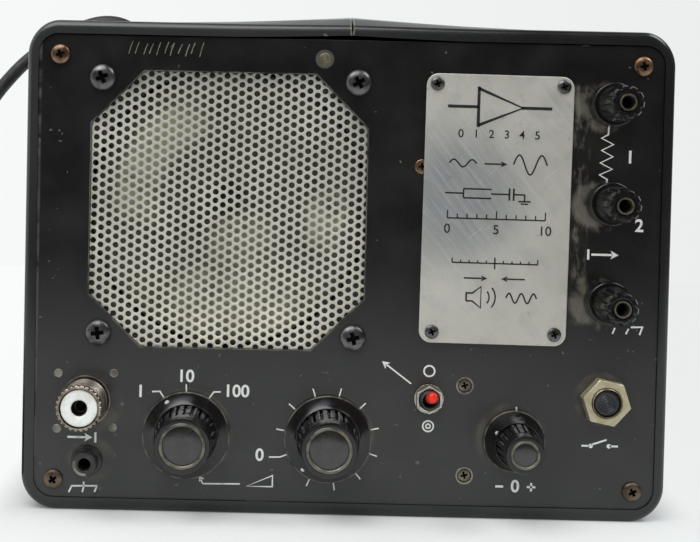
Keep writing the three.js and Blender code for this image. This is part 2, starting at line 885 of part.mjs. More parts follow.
function knobBody(o) {
  const capPocket = o.height - knobCapThickness - gap;
  const groove = o.gripRadius - knobFluteDepth;
  const skirtTop = knobLift + o.skirtEdge;
  const [bellOutShare, bellUpShare] = bellShares;
  const skirt = turned([
    [0, knobLift],
    [o.skirtRadius, knobLift],
    [o.skirtRadius, skirtTop],
    [
      o.shoulderRadius + bellOutShare * (o.skirtRadius - o.shoulderRadius),
      skirtTop + bellUpShare * (o.shoulderHeight - skirtTop),
    ],
    [o.shoulderRadius, o.shoulderHeight],
    [0, o.shoulderHeight],
  ], turnSides);
  const grip = fluted([
    [o.shoulderRadius - knobFluteDepth / 2, o.shoulderHeight - knobFluteDepth],
    [o.gripRadius, o.gripHeight],
  ], o.flutes, knobFluteDepth);
  const collar = turned([
    [0, o.gripHeight - knobFluteDepth],
    [groove - gap, o.gripHeight - knobFluteDepth],
    [groove - gap, o.gripHeight],
    [o.noseRadius, o.height],
    [0, o.height],
  ], turnSides);
  const nutRoom = bushRadius + knobWall;
  const cavity = join(
    rod(nutRoom, knobLift - overrun, bushHeight + overrun, smallSides),
    rod(shaftRadius + fit, knobLift, capPocket - knobWall, smallSides),
    rod(o.capRadius + gap, capPocket, o.height + overrun, turnSides),
  );
  return join(skirt, grip, collar).subtract(cavity);
}

function knobCap(o) {
  const floor = o.height - knobCapRecess;
  return turned([
    [0, o.height - knobCapThickness],
    [o.capRadius, o.height - knobCapThickness],
    [o.capRadius, o.height],
    [o.discRadius + knobCapRecess / 2, o.height],
    [o.discRadius, floor],
    [0, floor],
  ], turnSides);
}

// A shaft with a flat, which keys the knob to it
function shaft(from, to) {
  const half = Math.acos(shaftFlat / shaftRadius);
  const outline = arc(0, 0, shaftRadius, half, 2 * Math.PI - half, smallSides);
  return sheet(outline, [], to - from, from);
}

function turningPart(bodyRadius, bodyDepth, waferReach) {
  const bore = shaftRadius + fit;
  const end = behindPanel - bodyDepth;
  const boreEnd = behindPanel - shaftTail - gap;
  const profile = [
    [0, boreEnd], [bore, boreEnd], [bore, bushHeight], [bushRadius, bushHeight],
    [bushRadius, behindPanel], [bodyRadius, behindPanel],
  ];
  if (waferReach) {
    const wafers = [0.35, 0.75];
    wafers.forEach((share) => {
      const z = behindPanel - share * bodyDepth;
      profile.push([bodyRadius, z], [waferReach, z]);
      profile.push([waferReach, z - waferThickness], [bodyRadius, z - waferThickness]);
    });
  }
  profile.push([bodyRadius, end], [0, end]);
  return turned(profile, smallSides);
}

function makeKnob(name, [x, y], sizes, part) {
  const group = station(face, x, y);
  add(group, `${name}_knob`, knobBody(sizes), knobPlastic);
  add(group, `${name}_knob_cap`, knobCap(sizes), capMetal);
  const tip = sizes.height - knobCapThickness - gap - knobWall - gap;
  add(group, `${name}_shaft`, shaft(behindPanel - shaftTail, tip), steel);
  add(group, part[0], part[1], steel);
}

const bigKnob = {
  skirtRadius: knobSkirtRadius, skirtEdge: knobSkirtEdge, shoulderRadius: knobShoulderRadius,
  shoulderHeight: knobShoulderHeight, gripRadius: knobGripRadius, gripHeight: knobGripHeight,
  noseRadius: knobNoseRadius, height: knobHeight, capRadius: knobCapRadius, discRadius: knobDiscRadius,
  flutes: knobFlutes,
};
const smallKnob = {
  skirtRadius: offsetSkirtRadius, skirtEdge: offsetSkirtEdge, shoulderRadius: offsetShoulderRadius,
  shoulderHeight: offsetShoulderHeight, gripRadius: offsetGripRadius, gripHeight: offsetGripHeight,
  noseRadius: offsetNoseRadius, height: offsetHeight, capRadius: offsetCapRadius,
  discRadius: offsetDiscRadius, flutes: offsetFlutes,
};

function makeKnobs() {
  const rotarySwitch = turningPart(switchRadius, switchDepth, waferRadius);
  makeKnob('range', rangePlace, bigKnob, ['range_switch', rotarySwitch]);
  makeKnob('gain', gainPlace, bigKnob, ['gain_pot', turningPart(potRadius, potDepth, 0)]);
  makeKnob('offset', offsetPlace, smallKnob, ['offset_pot', turningPart(potRadius, potDepth, 0)]);
}

// Toggle switch

function makeToggle() {
  const group = station(face, ...togglePlace);
  const body = join(
    block(toggleBodyWidth, toggleBodyHeight, toggleBodyDepth, 0, 0, behindPanel - toggleBodyDepth),
    rod(toggleBushRadius, behindPanel - overrun, toggleBushHeight, smallSides),
  ).subtract(rod(toggleBore, leverPivotHeight - leverTail - overrun, toggleBushHeight + overrun, smallSides));
  add(group, 'toggle_switch', body, steel);
  const bore = toggleBushRadius + fit;
  const washer = tube(toggleWasherRadius, bore, gap, gap + toggleWasherHeight, smallSides);
  const hex = nut(toggleNutFlats, bore, toggleNutHeight, Math.PI / 6, gap + toggleWasherHeight);
  add(group, 'toggle_nut', washer.add(hex), steel);
  const pivot = new THREE.Group();
  pivot.position.z = leverPivotHeight;
  pivot.rotation.x = -leverTilt;
  group.add(pivot);
  const sleeveEnd = leverLength - leverTipLength;
  const tipShares = [[0.9, 0], [1, 0.12], [1, 0.72], [0.82, 0.9], [0.45, 0.98], [0, 1]];
  const tailRadius = leverTailShare * leverRadius;
  const lever = turned([
    [0, -leverTail], [tailRadius, -leverTail], [tailRadius, -leverBall],
    [leverBall, -leverBall / 3], [leverBall, leverBall / 3], [leverRadius, leverBall],
    [leverRadius, sleeveEnd],
    ...tipShares.map(([out, along]) => [out * leverTipRadius, sleeveEnd + along * leverTipLength]),
  ], smallSides);
  add(pivot, 'toggle_lever', lever, redPlastic);
}

// Thermal cut-out

function makeBreaker() {
  const group = station(face, ...breakerPlace);
  const bore = rod(buttonRadius + fit, -buttonTail - fit, breakerBushHeight + overrun, turnSides);
  const body = join(
    block(breakerBodyWidth, breakerBodyHeight, breakerBodyDepth, 0, 0, behindPanel - breakerBodyDepth),
    rod(breakerBushRadius, behindPanel - overrun, breakerBushHeight, turnSides),
  ).subtract(bore);
  add(group, 'breaker_body', body, darkSteel);
  const hex = nut(breakerNutFlats, breakerBushRadius + fit, breakerNutHeight, breakerNutTurn, gap);
  add(group, 'breaker_nut', hex, zinc);
  const ringShares = [1, 0.72, 0.45, 0.2];
  const profile = [[0, -buttonTail], [buttonRadius, -buttonTail]];
  ringShares.forEach((share, i) => {
    const top = buttonHeight - (i % 2) * buttonStep;
    profile.push([share * buttonRadius, top], [(ringShares[i + 1] ?? 0) * buttonRadius, top]);
  });
  add(group, 'breaker_button', turned(profile, smallSides), knobPlastic);
}

// Sockets

function toothedRing(outer, inner, teeth, depth, from, to) {
  const points = [];
  for (let i = 0; i < teeth; i += 1) {
    const angle = 2 * Math.PI * i / teeth;
    const next = 2 * Math.PI * (i + 0.5) / teeth;
    points.push(new THREE.Vector2(outer * Math.cos(angle), outer * Math.sin(angle)));
    points.push(new THREE.Vector2((outer - depth) * Math.cos(next), (outer - depth) * Math.sin(next)));
  }
  return sheet(points, [circle(0, 0, inner, turnSides)], to - from, from);
}

function makeInputSocket() {
  const group = station(face, ...inputPlace);
  const crownFoot = inputHeight - inputCrown;
  const flangeFoot = behindPanel - inputFlangeThickness;
  const outline = roundedRectangle(inputFlange, inputFlange, inputCrown, 1);
  const flange = sheet(outline, [circle(0, 0, inputBore, turnSides)], inputFlangeThickness, flangeFoot);
  const barrel = turned([
    [inputBore, flangeFoot], [inputBarrelRadius, flangeFoot], [inputBarrelRadius, inputCrown],
    [inputThreadRadius, inputCrown + inputToothDepth], [inputThreadRadius, crownFoot],
    [inputBore, crownFoot], [inputBore, flangeFoot],
  ], turnSides);
  const outerCrown = inputBarrelRadius + inputToothDepth / 2;
  const crown = toothedRing(outerCrown, inputBore, inputTeeth, inputToothDepth, crownFoot - fit, inputHeight);
  add(group, 'input_socket', join(flange, barrel, crown), steel);
  const top = inputHeight - insulatorRecess;
  const insulator = turned([
    [0, flangeFoot - inputTail], [insulatorRadius, flangeFoot - inputTail], [insulatorRadius, top],
    [insulatorHole, top], [insulatorHole, top - insulatorHoleDepth], [0, top - insulatorHoleDepth],
  ], turnSides);
  add(group, 'input_insulator', insulator, white);
}

function makeEarthSocket() {
  const tail = behindPanel - earthTail;
  const socket = turned([
    [0, tail], [earthRadius, tail], [earthRadius, gap], [earthCollarRadius, gap],
    [earthCollarRadius, earthCollarHeight], [earthRadius, earthCollarHeight + gap],
    [earthRadius, earthHeight], [socketBore, earthHeight],
    [socketBore, earthHeight - socketDepth], [0, earthHeight - socketDepth],
  ], smallSides);
  add(station(face, ...earthPlace), 'earth_socket', socket, knobPlastic);
}

function makeTerminal(shares, number) {
  const [x, y] = place(shares);
  const group = station(face, x, y);
  const tail = behindPanel - terminalTail;
  const shoulder = terminalBaseHeight - gap;
  const post = turned([
    [0, tail], [terminalTailRadius, tail], [terminalTailRadius, gap], [terminalBaseRadius, gap],
    [terminalBaseRadius, shoulder - overrun], [terminalBaseRadius - overrun, shoulder],
    [terminalTubeRadius, shoulder], [terminalTubeRadius, terminalHeight],
    [socketBore, terminalHeight], [socketBore, terminalHeight - socketDepth],
    [0, terminalHeight - socketDepth],
  ], turnSides / 2);
  add(group, `terminal_post_${number}`, post, knobPlastic);
  const bore = terminalTubeRadius + fit;
  const washerTop = terminalBaseHeight + washerThickness;
  const washer = tube(washerRadius, bore, terminalBaseHeight, washerTop, smallSides);
  add(group, `terminal_washer_${number}`, washer, steel);
  const foot = washerTop + gap;
  const nose = terminalHeight - headSetback;
  const head = fluted([
    [headFootRadius, foot],
    [headNoseRadius, nose - overrun],
    [headNoseRadius - headFluteDepth, nose],
  ], headFlutes, headFluteDepth);
  const through = rod(bore, foot - overrun, nose + overrun, smallSides);
  add(group, `terminal_head_${number}`, head.subtract(through), knobPlastic);
}

// Rear

function makeHeatSink() {
  const points = [];
  const pitch = (heatSinkWidth - heatSinkFinRoot) / (heatSinkFins - 1);
  const half = heatSinkWidth / 2;
  points.push([half, 0], [-half, 0]);
  for (let i = 0; i < heatSinkFins; i += 1) {
    const middle = -half + heatSinkFinRoot / 2 + i * pitch;
    points.push([middle - heatSinkFinRoot / 2, heatSinkBase]);
    points.push([middle - heatSinkFinTip / 2, heatSinkBase + heatSinkFin]);
    points.push([middle + heatSinkFinTip / 2, heatSinkBase + heatSinkFin]);
    points.push([middle + heatSinkFinRoot / 2, heatSinkBase]);
  }
  const outline = points.map(([x, y]) => new THREE.Vector2(x, y)).reverse();
  const sink = sheet(outline, [], heatSinkHeight, -heatSinkHeight / 2);
  const group = new THREE.Group();
  const x = heatSinkPlaceShare * panelWidth / 2;
  group.position.set(x, rearFaceY + gap, caseHeight / 2);
  amplifier.add(group);
  add(group, 'heat_sink', sink, darkSteel);
}

function makeGland() {
  const [x, y] = place(glandPlaceShares);
  const flangeTop = gap + glandFlangeThickness;
  const profile = [
    [0, -glandTail], [glandNeckRadius, -glandTail], [glandNeckRadius, gap], [glandFlangeRadius, gap],
    [glandFlangeRadius, flangeTop - gap], [glandFlangeRadius - gap, flangeTop],
  ];
  const run = glandLength - flangeTop;
  for (let i = 0; i < glandRibs; i += 1) {
    [[0, 0], [0.55, 0], [0.6, 1], [0.95, 1]].forEach(([share, groove]) => {
      const along = (i + share) / glandRibs;
      const radius = glandNeckRadius + (glandTipRadius - glandNeckRadius) * along;
      profile.push([radius - groove * glandRibDepth, flangeTop + along * run]);
    });
  }
  profile.push([glandTipRadius, glandLength - gap], [glandTipRadius, glandLength], [0, glandLength]);
  add(station(back, -x, y), 'cable_gland', turned(profile, smallSides), flex);
}

// Transformer and circuit board, standing on the chassis

const chassisFloor = (caseHeight - panelHeight) / 2 + chassisGap + chassisThickness + gap;

function makeTransformer() {
  const group = new THREE.Group();
  const y = rearFaceY - panelThickness - coreClearance - coreStack / 2 - windingOverhang;
  group.position.set(corePlaceShare * panelWidth / 2, y, chassisFloor);
  amplifier.add(group);
  const window = (coreWidth - coreLeg) / 2 - coreYoke;
  const windowHeight = coreHeight - 2 * coreYoke;
  const windowX = coreLeg / 2 + window / 2;
  let core = block(coreWidth, coreStack, coreHeight, 0, 0, 0);
  [-windowX, windowX].forEach((x) => {
    core = core.subtract(block(window, coreStack + 2 * overrun, windowHeight, x, 0, coreYoke));
  });
  add(group, 'transformer_core', core, darkSteel);
  const outer = rectangle(coreLeg + 2 * (window - fit), coreStack + 2 * windingOverhang, 0, 0);
  const inner = rectangle(coreLeg + 2 * fit, coreStack + 2 * fit, 0, 0);
  const winding = sheet(outer, [inner], windowHeight - 2 * fit, coreYoke + fit);
  add(group, 'transformer_winding', winding, copper);
}

function makeBoard() {
  const group = new THREE.Group();
  const wall = chassisGap + chassisThickness + boardSideClearance;
  const x = wall + boardWidth / 2 - panelWidth / 2;
  const y = rearFaceY - panelThickness - boardClearance - boardDepth / 2;
  group.position.set(x, y, chassisFloor);
  amplifier.add(group);
  const top = boardHeight + boardThickness;
  let board = block(boardWidth, boardDepth, boardThickness, 0, 0, boardHeight);
  cornerSigns.forEach(([signX, signY]) => {
    const pillar = rod(pillarRadius, 0, boardHeight + boardThickness / 2, screwSides);
    const pillarX = signX * (boardWidth / 2 - pillarInset);
    board = board.add(pillar.translate([pillarX, signY * (boardDepth / 2 - pillarInset), 0]));
  });
  const canX = capacitorPlaceShares[0] * capacitorRadius;
  const canY = capacitorPlaceShares[1] * boardDepth;
  const chipX = chipPlaceShares[0] * boardWidth;
  const chipY = -chipPlaceShares[1] * boardDepth;
  [-1, 1].forEach((side) => {
    const can = rod(capacitorRadius, top - boardThickness / 2, top + capacitorHeight, smallSides);
    board = board.add(can.translate([side * canX, canY, 0]));
  });
  const chipFoot = top - boardThickness / 2;
  const chip = block(2 * capacitorRadius, capacitorRadius, capacitorRadius / 2, 0, 0, chipFoot);
  [-1, 1].forEach((side) => {
    board = board.add(chip.translate([side * chipX, chipY, 0]));
  });
  add(group, 'circuit_board', board, boardGreen);
}

// Mains lead

const glandPlace = place(glandPlaceShares);
const cordStart = new THREE.Vector3(
  glandPlace[0],
  rearFaceY + glandLength + fit,
  caseHeight / 2 + glandPlace[1],
);
const coilPitch = 2 * cordRadius + coilTubeGap;
const coilOuter = coilRadius + coilPitch * coilTurns / 4;
const coilInner = coilRadius - coilPitch * coilTurns / 4;
const lowerLayer = cordLift + cordRadius;
const upperLayer = lowerLayer + coilPitch;
const coilStart = new THREE.Vector3(coilCentreX + coilOuter, coilCentreY + 2 * cordRadius, upperLayer);
const plugAxis = plugLift + plugThickness / 2;

function coilPoints() {
  const points = [coilStart.clone()];
  const steps = coilTurns * coilStepsPerTurn;
  for (let i = 0; i <= steps; i += 1) {
    const turn = i / coilStepsPerTurn;
    const fromReversal = turn - coilTurns / 2;
    const radius = coilInner + coilPitch * Math.abs(fromReversal);
    const drop = THREE.MathUtils.smoothstep(fromReversal, -1 / 4, 1 / 4);
    const angle = -2 * Math.PI * turn;
    points.push(new THREE.Vector3(
      coilCentreX + radius * Math.cos(angle),
      coilCentreY + radius * Math.sin(angle),
      THREE.MathUtils.lerp(upperLayer, lowerLayer, drop),
    ));
  }
  const last = points[points.length - 1];
  const tailShares = [0.12, 0.25, 0.38, 0.48, 0.58, 0.68, 0.78, 0.88, 1];
  tailShares.forEach((share) => {
    const rise = THREE.MathUtils.smoothstep(share, ...tailRiseShares);
    const z = THREE.MathUtils.lerp(last.z, plugAxis, rise);
    points.push(new THREE.Vector3(last.x, last.y - share * coilTail, z));
  });
  return points;
}

function swept(points, radius, sides, steps) {
  const curve = new THREE.CatmullRomCurve3(points, false, 'centripetal');
  curve.arcLengthDivisions = 8 * steps;
  const shape = new THREE.Shape(circle(0, 0, radius, sides));
  const geometry = new THREE.ExtrudeGeometry(shape, { steps, bevelEnabled: false, extrudePath: curve });
  return { body: solid(geometry), length: curve.getLength() };
}

function leastGap(points, apart) {
  let least = Infinity;
  points.forEach((point, i) => {
    for (let j = i + apart; j < points.length; j += 1) {
      least = Math.min(least, point.distanceTo(points[j]));
    }
  });
  return least - 2 * cordRadius;
}

function makeCord() {
  const route = cordRoute.map(([x, y, z]) => new THREE.Vector3(x, y, z));
  const end = new THREE.Vector3(coilStart.x, coilStart.y + fit, coilStart.z);
  const beforeEnd = new THREE.Vector3(end.x, end.y + 2 * cordRadius, end.z);
  const afterStart = new THREE.Vector3(cordStart.x, cordStart.y + 2 * cordRadius, cordStart.z);
  const free = swept([cordStart, afterStart, ...route, beforeEnd, end], cordRadius, cordSides, cordSteps);
  add(amplifier, 'mains_cord', free.body, flex);
  const points = coilPoints();
  const steps = coilTurns * coilStepsPerTurn + coilSides;
  const coil = swept(points, cordRadius, coilSides, steps);
  add(amplifier, 'mains_cord_coil', coil.body, flex);
  const total = free.length + coil.length;
  const coilGap = leastGap(points, coilStepsPerTurn / 2);
  console.log(`lead ${total.toFixed(1)} mm, free ${free.length.toFixed(1)}, coil gap ${coilGap.toFixed(2)}`);
}

function makeTie() {
  const radialIn = coilInner - cordRadius - fit;
  const radialOut = coilOuter - coilPitch / 2 + cordRadius + fit;
  const width = radialOut - radialIn;
  const height = upperLayer - lowerLayer + 2 * (cordRadius + fit);
  const [outer, inner] = [tieThickness, 0].map((thick) => {
    return roundedRectangle(width + 2 * thick, height + 2 * thick, cordRadius + thick, 3);
  });
  const group = new THREE.Group();
  const middle = (upperLayer + lowerLayer) / 2;
  group.position.set(coilCentreX - (radialIn + radialOut) / 2, coilCentreY, middle);
  group.rotation.x = Math.PI / 2;
  amplifier.add(group);
  add(group, 'coil_tie', sheet(outer, [inner], tieWidth, -tieWidth / 2), white);
}

function plugOutline(shrink) {
  const half = plugWidth / 2 - shrink;
  const neck = plugNeckWidth / 2 - shrink / 2;
  const far = -plugLength + shrink;
  const radius = plugCorner;
  return [
    new THREE.Vector2(neck, -shrink / 2),
    new THREE.Vector2(-neck, -shrink / 2),
    ...arc(-half + radius, -plugShoulder - shrink, radius, Math.PI / 2, Math.PI, 2),
    ...arc(-half + radius, far + radius, radius, Math.PI, 1.5 * Math.PI, 3),
    ...arc(half - radius, far + radius, radius, 1.5 * Math.PI, 2 * Math.PI, 3),
    ...arc(half - radius, -plugShoulder - shrink, radius, 0, Math.PI / 2, 2),
  ];
}

// The plug lies on its back, with its pins up.
function makePlug() {
  const group = new THREE.Group();
  const mouth = coilCentreY - coilTail - fit;
  group.position.set(coilCentreX + coilOuter, mouth, plugLift);
  amplifier.add(group);
  const ringShares = [[0.16, 0], [0.05, 0.12], [0, 0.35], [0, 1]];
  const rings = ringShares.map(([shrinkShare, up]) => plugOutline(shrinkShare * plugWidth / 2)
    .map((point) => new THREE.Vector3(point.x, point.y, up * plugThickness)));
  add(group, 'plug_cover', loft(rings), flex);
  const seat = plugThickness + gap;
  let base = sheet(plugOutline(gap), [], plugBaseThickness, seat);
  const foot = seat + plugBaseThickness / 2;
  const rows = [
    [-pinPitch / 2, -pinSetback, pinWidth, pinThickness, pinLength],
    [pinPitch / 2, -pinSetback, pinWidth, pinThickness, pinLength],
    [0, -pinSetback - pinPitch, pinThickness, earthPinWidth, earthPinLength],
  ];
  rows.forEach(([x, y, width, height, length]) => {
    base = base.add(block(width, height, length + plugBaseThickness / 2, x, y, foot));
  });
  add(group, 'plug_base', base, flex);
}

makeSleeve();
makeFrontPanel();
makeRearPanel();
makeChassis();
makeScrews();
makeLoudspeaker();
makeNameplate();
makeKnobs();
makeToggle();
makeBreaker();
makeInputSocket();
makeEarthSocket();
terminalPlaceShares.forEach((shares, i) => makeTerminal(shares, i + 1));
makeHeatSink();
makeGland();
makeTransformer();
makeBoard();
makeCord();
makeTie();
makePlug();

export default amplifier;
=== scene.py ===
# The bench amplifier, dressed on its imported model.
# Sizes are in millimetres until MM turns them into metres. Panel points are (across, up, out).
import json
import math

import bpy
import numpy as np
from mathutils import Matrix, Vector


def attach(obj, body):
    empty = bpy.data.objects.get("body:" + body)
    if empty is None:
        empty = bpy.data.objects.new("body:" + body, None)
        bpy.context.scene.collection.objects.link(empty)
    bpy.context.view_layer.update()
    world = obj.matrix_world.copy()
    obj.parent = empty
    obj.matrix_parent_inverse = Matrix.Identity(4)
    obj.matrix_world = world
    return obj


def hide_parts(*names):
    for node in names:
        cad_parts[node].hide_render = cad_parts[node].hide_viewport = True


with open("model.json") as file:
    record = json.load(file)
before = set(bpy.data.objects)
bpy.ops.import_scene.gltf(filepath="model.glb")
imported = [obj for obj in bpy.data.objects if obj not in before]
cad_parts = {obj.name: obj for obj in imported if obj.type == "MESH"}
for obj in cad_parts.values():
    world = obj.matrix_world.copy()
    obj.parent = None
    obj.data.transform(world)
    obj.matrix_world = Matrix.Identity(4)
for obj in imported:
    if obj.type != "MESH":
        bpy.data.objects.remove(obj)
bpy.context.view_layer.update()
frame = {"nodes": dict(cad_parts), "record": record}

MM = 0.001
TURN = 2 * math.pi

# Case
CASE_WIDTH, CASE_HEIGHT, CASE_DEPTH = 212, 160, 120
MID_HEIGHT = CASE_HEIGHT / 2
WALL = 3.3
CORNER = 10.2
FOOT_CORNER = 11.6
TOP_RISE = 1.1
RIM_LIFT = (0.45, 1.2)
CROWN_LIFT = 5.8
SEAM_GAP = 0.7
LIP, LIP_DEPTH, LIP_MORE = 0.35, 0.55, 0.6
RIM_SPAN, CROWN_SPAN = 0.36, 0.62
PANEL_FACE = 59.4
PANEL_WIDTH, PANEL_HEIGHT = 204.9, 152.9
PANEL_CORNER = 6.4
PANEL_THICKNESS = 2
GAP = 0.25
BEHIND = -PANEL_THICKNESS - GAP
GRILLE_BACK = -3.05

# Places on the front panel
SPEAKER = (-39.5, 20.7)
OPENING_DROP = 1
OPENING_SIZE, OPENING_CHAMFER = 90.5, 17.3
SPEAKER_SCREW_HALF = 41.85
PANEL_SCREW_HALF = (95.25, 69.85)
RANGE_KNOB = (-51.7, -54.3)
GAIN_KNOB = (-5.1, -54.6)
OFFSET_KNOB = (56.1, -53.9)
TOGGLE = (27.8, -40.6)
CUT_OUT = (85.3, -40.0)
INPUT = (-85.1, -43.8)
EARTH = (-84.3, -63.6)
OUTPUTS = [(84.8, 57.0), (84.8, 24.8), (84.8, -7.4)]
PLATE = (48.35, 21.95)
PLATE_SIZE = (48.2, 88.2)
PLATE_TURN = math.radians(-0.5)
PLATE_TOP = 1.05
PLATE_SCREWS = [(28.1, 62.8), (69.4, 62.6), (28.1, -18.4), (68.2, -18.5)]
INPUT_RIVETS = [(-94.1, -34.9), (-75.9, -34.6), (-94.3, -53.2), (-76.0, -52.6)]
FILLED_RIVET = (-8.8, 70.0)
HALF_HIDDEN_SCREW = (23.8, 35.6)
SUNK_SCREWS = [(39.6, -36.1), (40.1, -65.8)]

# Rear
GLAND = (-76.14, 117.34)

# Mains lead
CORD_DIAMETER = 6
CORD_START = (-76.14, 90.7, 117.34)
CORD_ROUTE = [
    (-77.5, 99, 117.5), (-77.5, 108, 118.6), (-77.7, 117, 123), (-78.1, 123.5, 131),
    (-78.7, 125.5, 141), (-80, 124.5, 151), (-82.6, 122.5, 161), (-87.6, 120.8, 170.4),
    (-95, 119.6, 176.6), (-104, 118.8, 179), (-115, 118, 176.9), (-127, 116.6, 171.2),
    (-139, 114.8, 162.2), (-149.5, 112.8, 151.2), (-158.5, 110.5, 138), (-165.2, 107.8, 123),
    (-169.4, 105, 106.5), (-171.6, 102.2, 91), (-171.6, 98.8, 76), (-170.6, 94.6, 62),
    (-168.8, 89.8, 48.5), (-166.6, 84.6, 36.6), (-164.8, 78.4, 27), (-163.4, 70.2, 18.8),
    (-162.5, 60.2, 13), (-162.25, 50.3, 10.35), (-162.25, 44, 10.35),
]
COIL_CENTRE = (-208, 38)
COIL_INNER, COIL_PITCH, COIL_TURNS = 26.25, 6.5, 6
COIL_STEPS = 24
COIL_UPPER, COIL_LOWER = 10.35, 3.85
COIL_TAIL, PLUG_AXIS = 52, 8.6
TAIL_SHARES = [0.12, 0.25, 0.38, 0.48, 0.58, 0.68, 0.78, 0.88, 1]
TAIL_RISE = (0.38, 0.88)

# Camera, from a fit to the panel's corners and screws in the photograph
CAMERA_PLACE = (-0.020886, -0.478441, 0.117094)
CAMERA_AHEAD = (-0.003335, 0.999710, -0.023839)
CAMERA_UP = (-0.021978, 0.023760, 0.999476)
CAMERA_LENS, CAMERA_SENSOR = 65.78, 36
CAMERA_SHIFT = (0.0987, -0.1164)


# Small tools. A part is a pair of a list of points and a list of faces.

def placed(name, data):
    made = bpy.data.objects.new(name, data)
    bpy.context.scene.collection.objects.link(made)
    return made


def new_mesh(name, points, faces):
    mesh = bpy.data.meshes.new(name)
    mesh.from_pydata(points, [], faces)
    return mesh


def new_curve(name, kind, **settings):
    curve = bpy.data.curves.new(name, kind)
    for key, value in settings.items():
        setattr(curve, key, value)
    return curve


def evaluated(made):
    """The object's final mesh as a part."""
    view = bpy.context.evaluated_depsgraph_get()
    mesh = bpy.data.meshes.new_from_object(made.evaluated_get(view))
    part = [tuple(v.co) for v in mesh.vertices], [tuple(p.vertices) for p in mesh.polygons]
    bpy.data.meshes.remove(mesh)
    return part


def make_camera():
    data = bpy.data.cameras.new("camera")
    data.lens = CAMERA_LENS
    data.sensor_width = CAMERA_SENSOR
    data.sensor_fit = "HORIZONTAL"
    data.shift_x, data.shift_y = CAMERA_SHIFT
    data.clip_start = 0.02
    ahead = Vector(CAMERA_AHEAD).normalized()
    side = ahead.cross(Vector(CAMERA_UP)).normalized()
    turn = Matrix((side, side.cross(ahead), -ahead)).transposed().to_4x4()
    camera = placed("camera", data)
    camera.matrix_world = Matrix.Translation(CAMERA_PLACE) @ turn
    bpy.context.scene.camera = camera


def smooth(value, low, high):
    share = min(max((value - low) / (high - low), 0), 1)
    return share * share * (3 - 2 * share)


def polar(radius, angle, *out):
    return (radius * math.cos(angle), radius * math.sin(angle), *out)


def merged(parts):
    points, faces = [], []
    for part_points, part_faces in parts:
        start = len(points)
        points.extend(tuple(p) for p in part_points)
        faces.extend(tuple(i + start for i in face) for face in part_faces)
    return points, faces


def moved(part, across=0, up=0, out=0):
    return [(p[0] + across, p[1] + up, p[2] + out) for p in part[0]], part[1]


def rolled(part, angle):
    c, s = math.cos(angle), math.sin(angle)
    return [(p[0] * c - p[1] * s, p[0] * s + p[1] * c, p[2]) for p in part[0]], part[1]


def eased(profile, radius, closed=False, steps=3):
    """The profile with its corners rounded."""
    points = [np.array(p, float) for p in profile]
    result = []
    for i, p in enumerate(points):
        if not closed and i in (0, len(points) - 1):
            result.append(tuple(p))
            continue
        a, b = points[i - 1] - p, points[(i + 1) % len(points)] - p
        la, lb = np.linalg.norm(a), np.linalg.norm(b)
        reach = min(radius, 0.45 * la, 0.45 * lb)
        for k in range(steps + 1):
            t = k / steps
            q = (1 - t) ** 2 * (p + a / la * reach) + 2 * t * (1 - t) * p + t * t * (p + b / lb * reach)
            result.append(tuple(q))
    return result


def turned(profile, sides=64, closed=False):
    """A turned part about the out axis, from (radius, out) points that go up on the outer side."""
    points, rows, faces = [], [], []
    for radius, out in profile:
        count = sides if radius > 1e-6 else 1
        rows.append(range(len(points), len(points) + count))
        points += [polar(radius, TURN * i / sides, out) for i in range(count)]
    for a, b in zip(rows, rows[1:] + rows[:1] if closed else rows[1:]):
        for i in range(sides):
            j = (i + 1) % sides
            if len(a) == 1 and len(b) > 1:
                faces.append((a[0], b[j], b[i]))
            elif len(b) == 1 and len(a) > 1:
                faces.append((a[i], a[j], b[0]))
            elif len(a) > 1:
                faces.append((a[i], a[j], b[j], b[i]))
    return points, faces


def lathed(profile, ease, sides=64, closed=False, steps=3):
    return turned(eased(profile, ease, closed, steps), sides, closed)


def ring(outer, inner, low, high, ease=0.15, sides=64):
    return lathed([(inner, low), (outer, low), (outer, high), (inner, high)], ease, sides, closed=True)


def thread(root, crest, start, pitch, count, rises):
    """A thread's outline. The rises say where its flanks change above the start of each turn."""
    points = []
    for k in range(count):
        low = start + pitch * k
        points += [(root, low), (crest, low + rises[0]), (crest, low + rises[1]), (root, low + rises[2])]
    return points


def lofted(rings, capped=True):
    """A skin through rings of equal counts of points, from low to high, turning left."""
    count = len(rings[0])
    points = [tuple(p) for r in rings for p in r]
    faces = []
    for a in range(0, len(points) - count, count):
        for i in range(count):
            j = (i + 1) % count
            faces.append((a + i, a + j, a + count + j, a + count + i))
    if capped:
        faces += [tuple(reversed(range(count))), tuple(range(len(points) - count, len(points)))]
    return points, faces


def ribbed(stations, count):
    """A turned body with narrow grooves, from (radius, out, groove depth) stations."""
    groove = [(-0.19, 0), (-0.14, 0.7), (-0.06, 1), (0.06, 1), (0.14, 0.7), (0.19, 0), (0.27, -0.06),
              (0.5, -0.08), (0.73, -0.06)]
    return lofted([[polar(radius - depth * drop, TURN * (i + share) / count, out)
                    for i in range(count) for share, drop in groove] for radius, out, depth in stations])


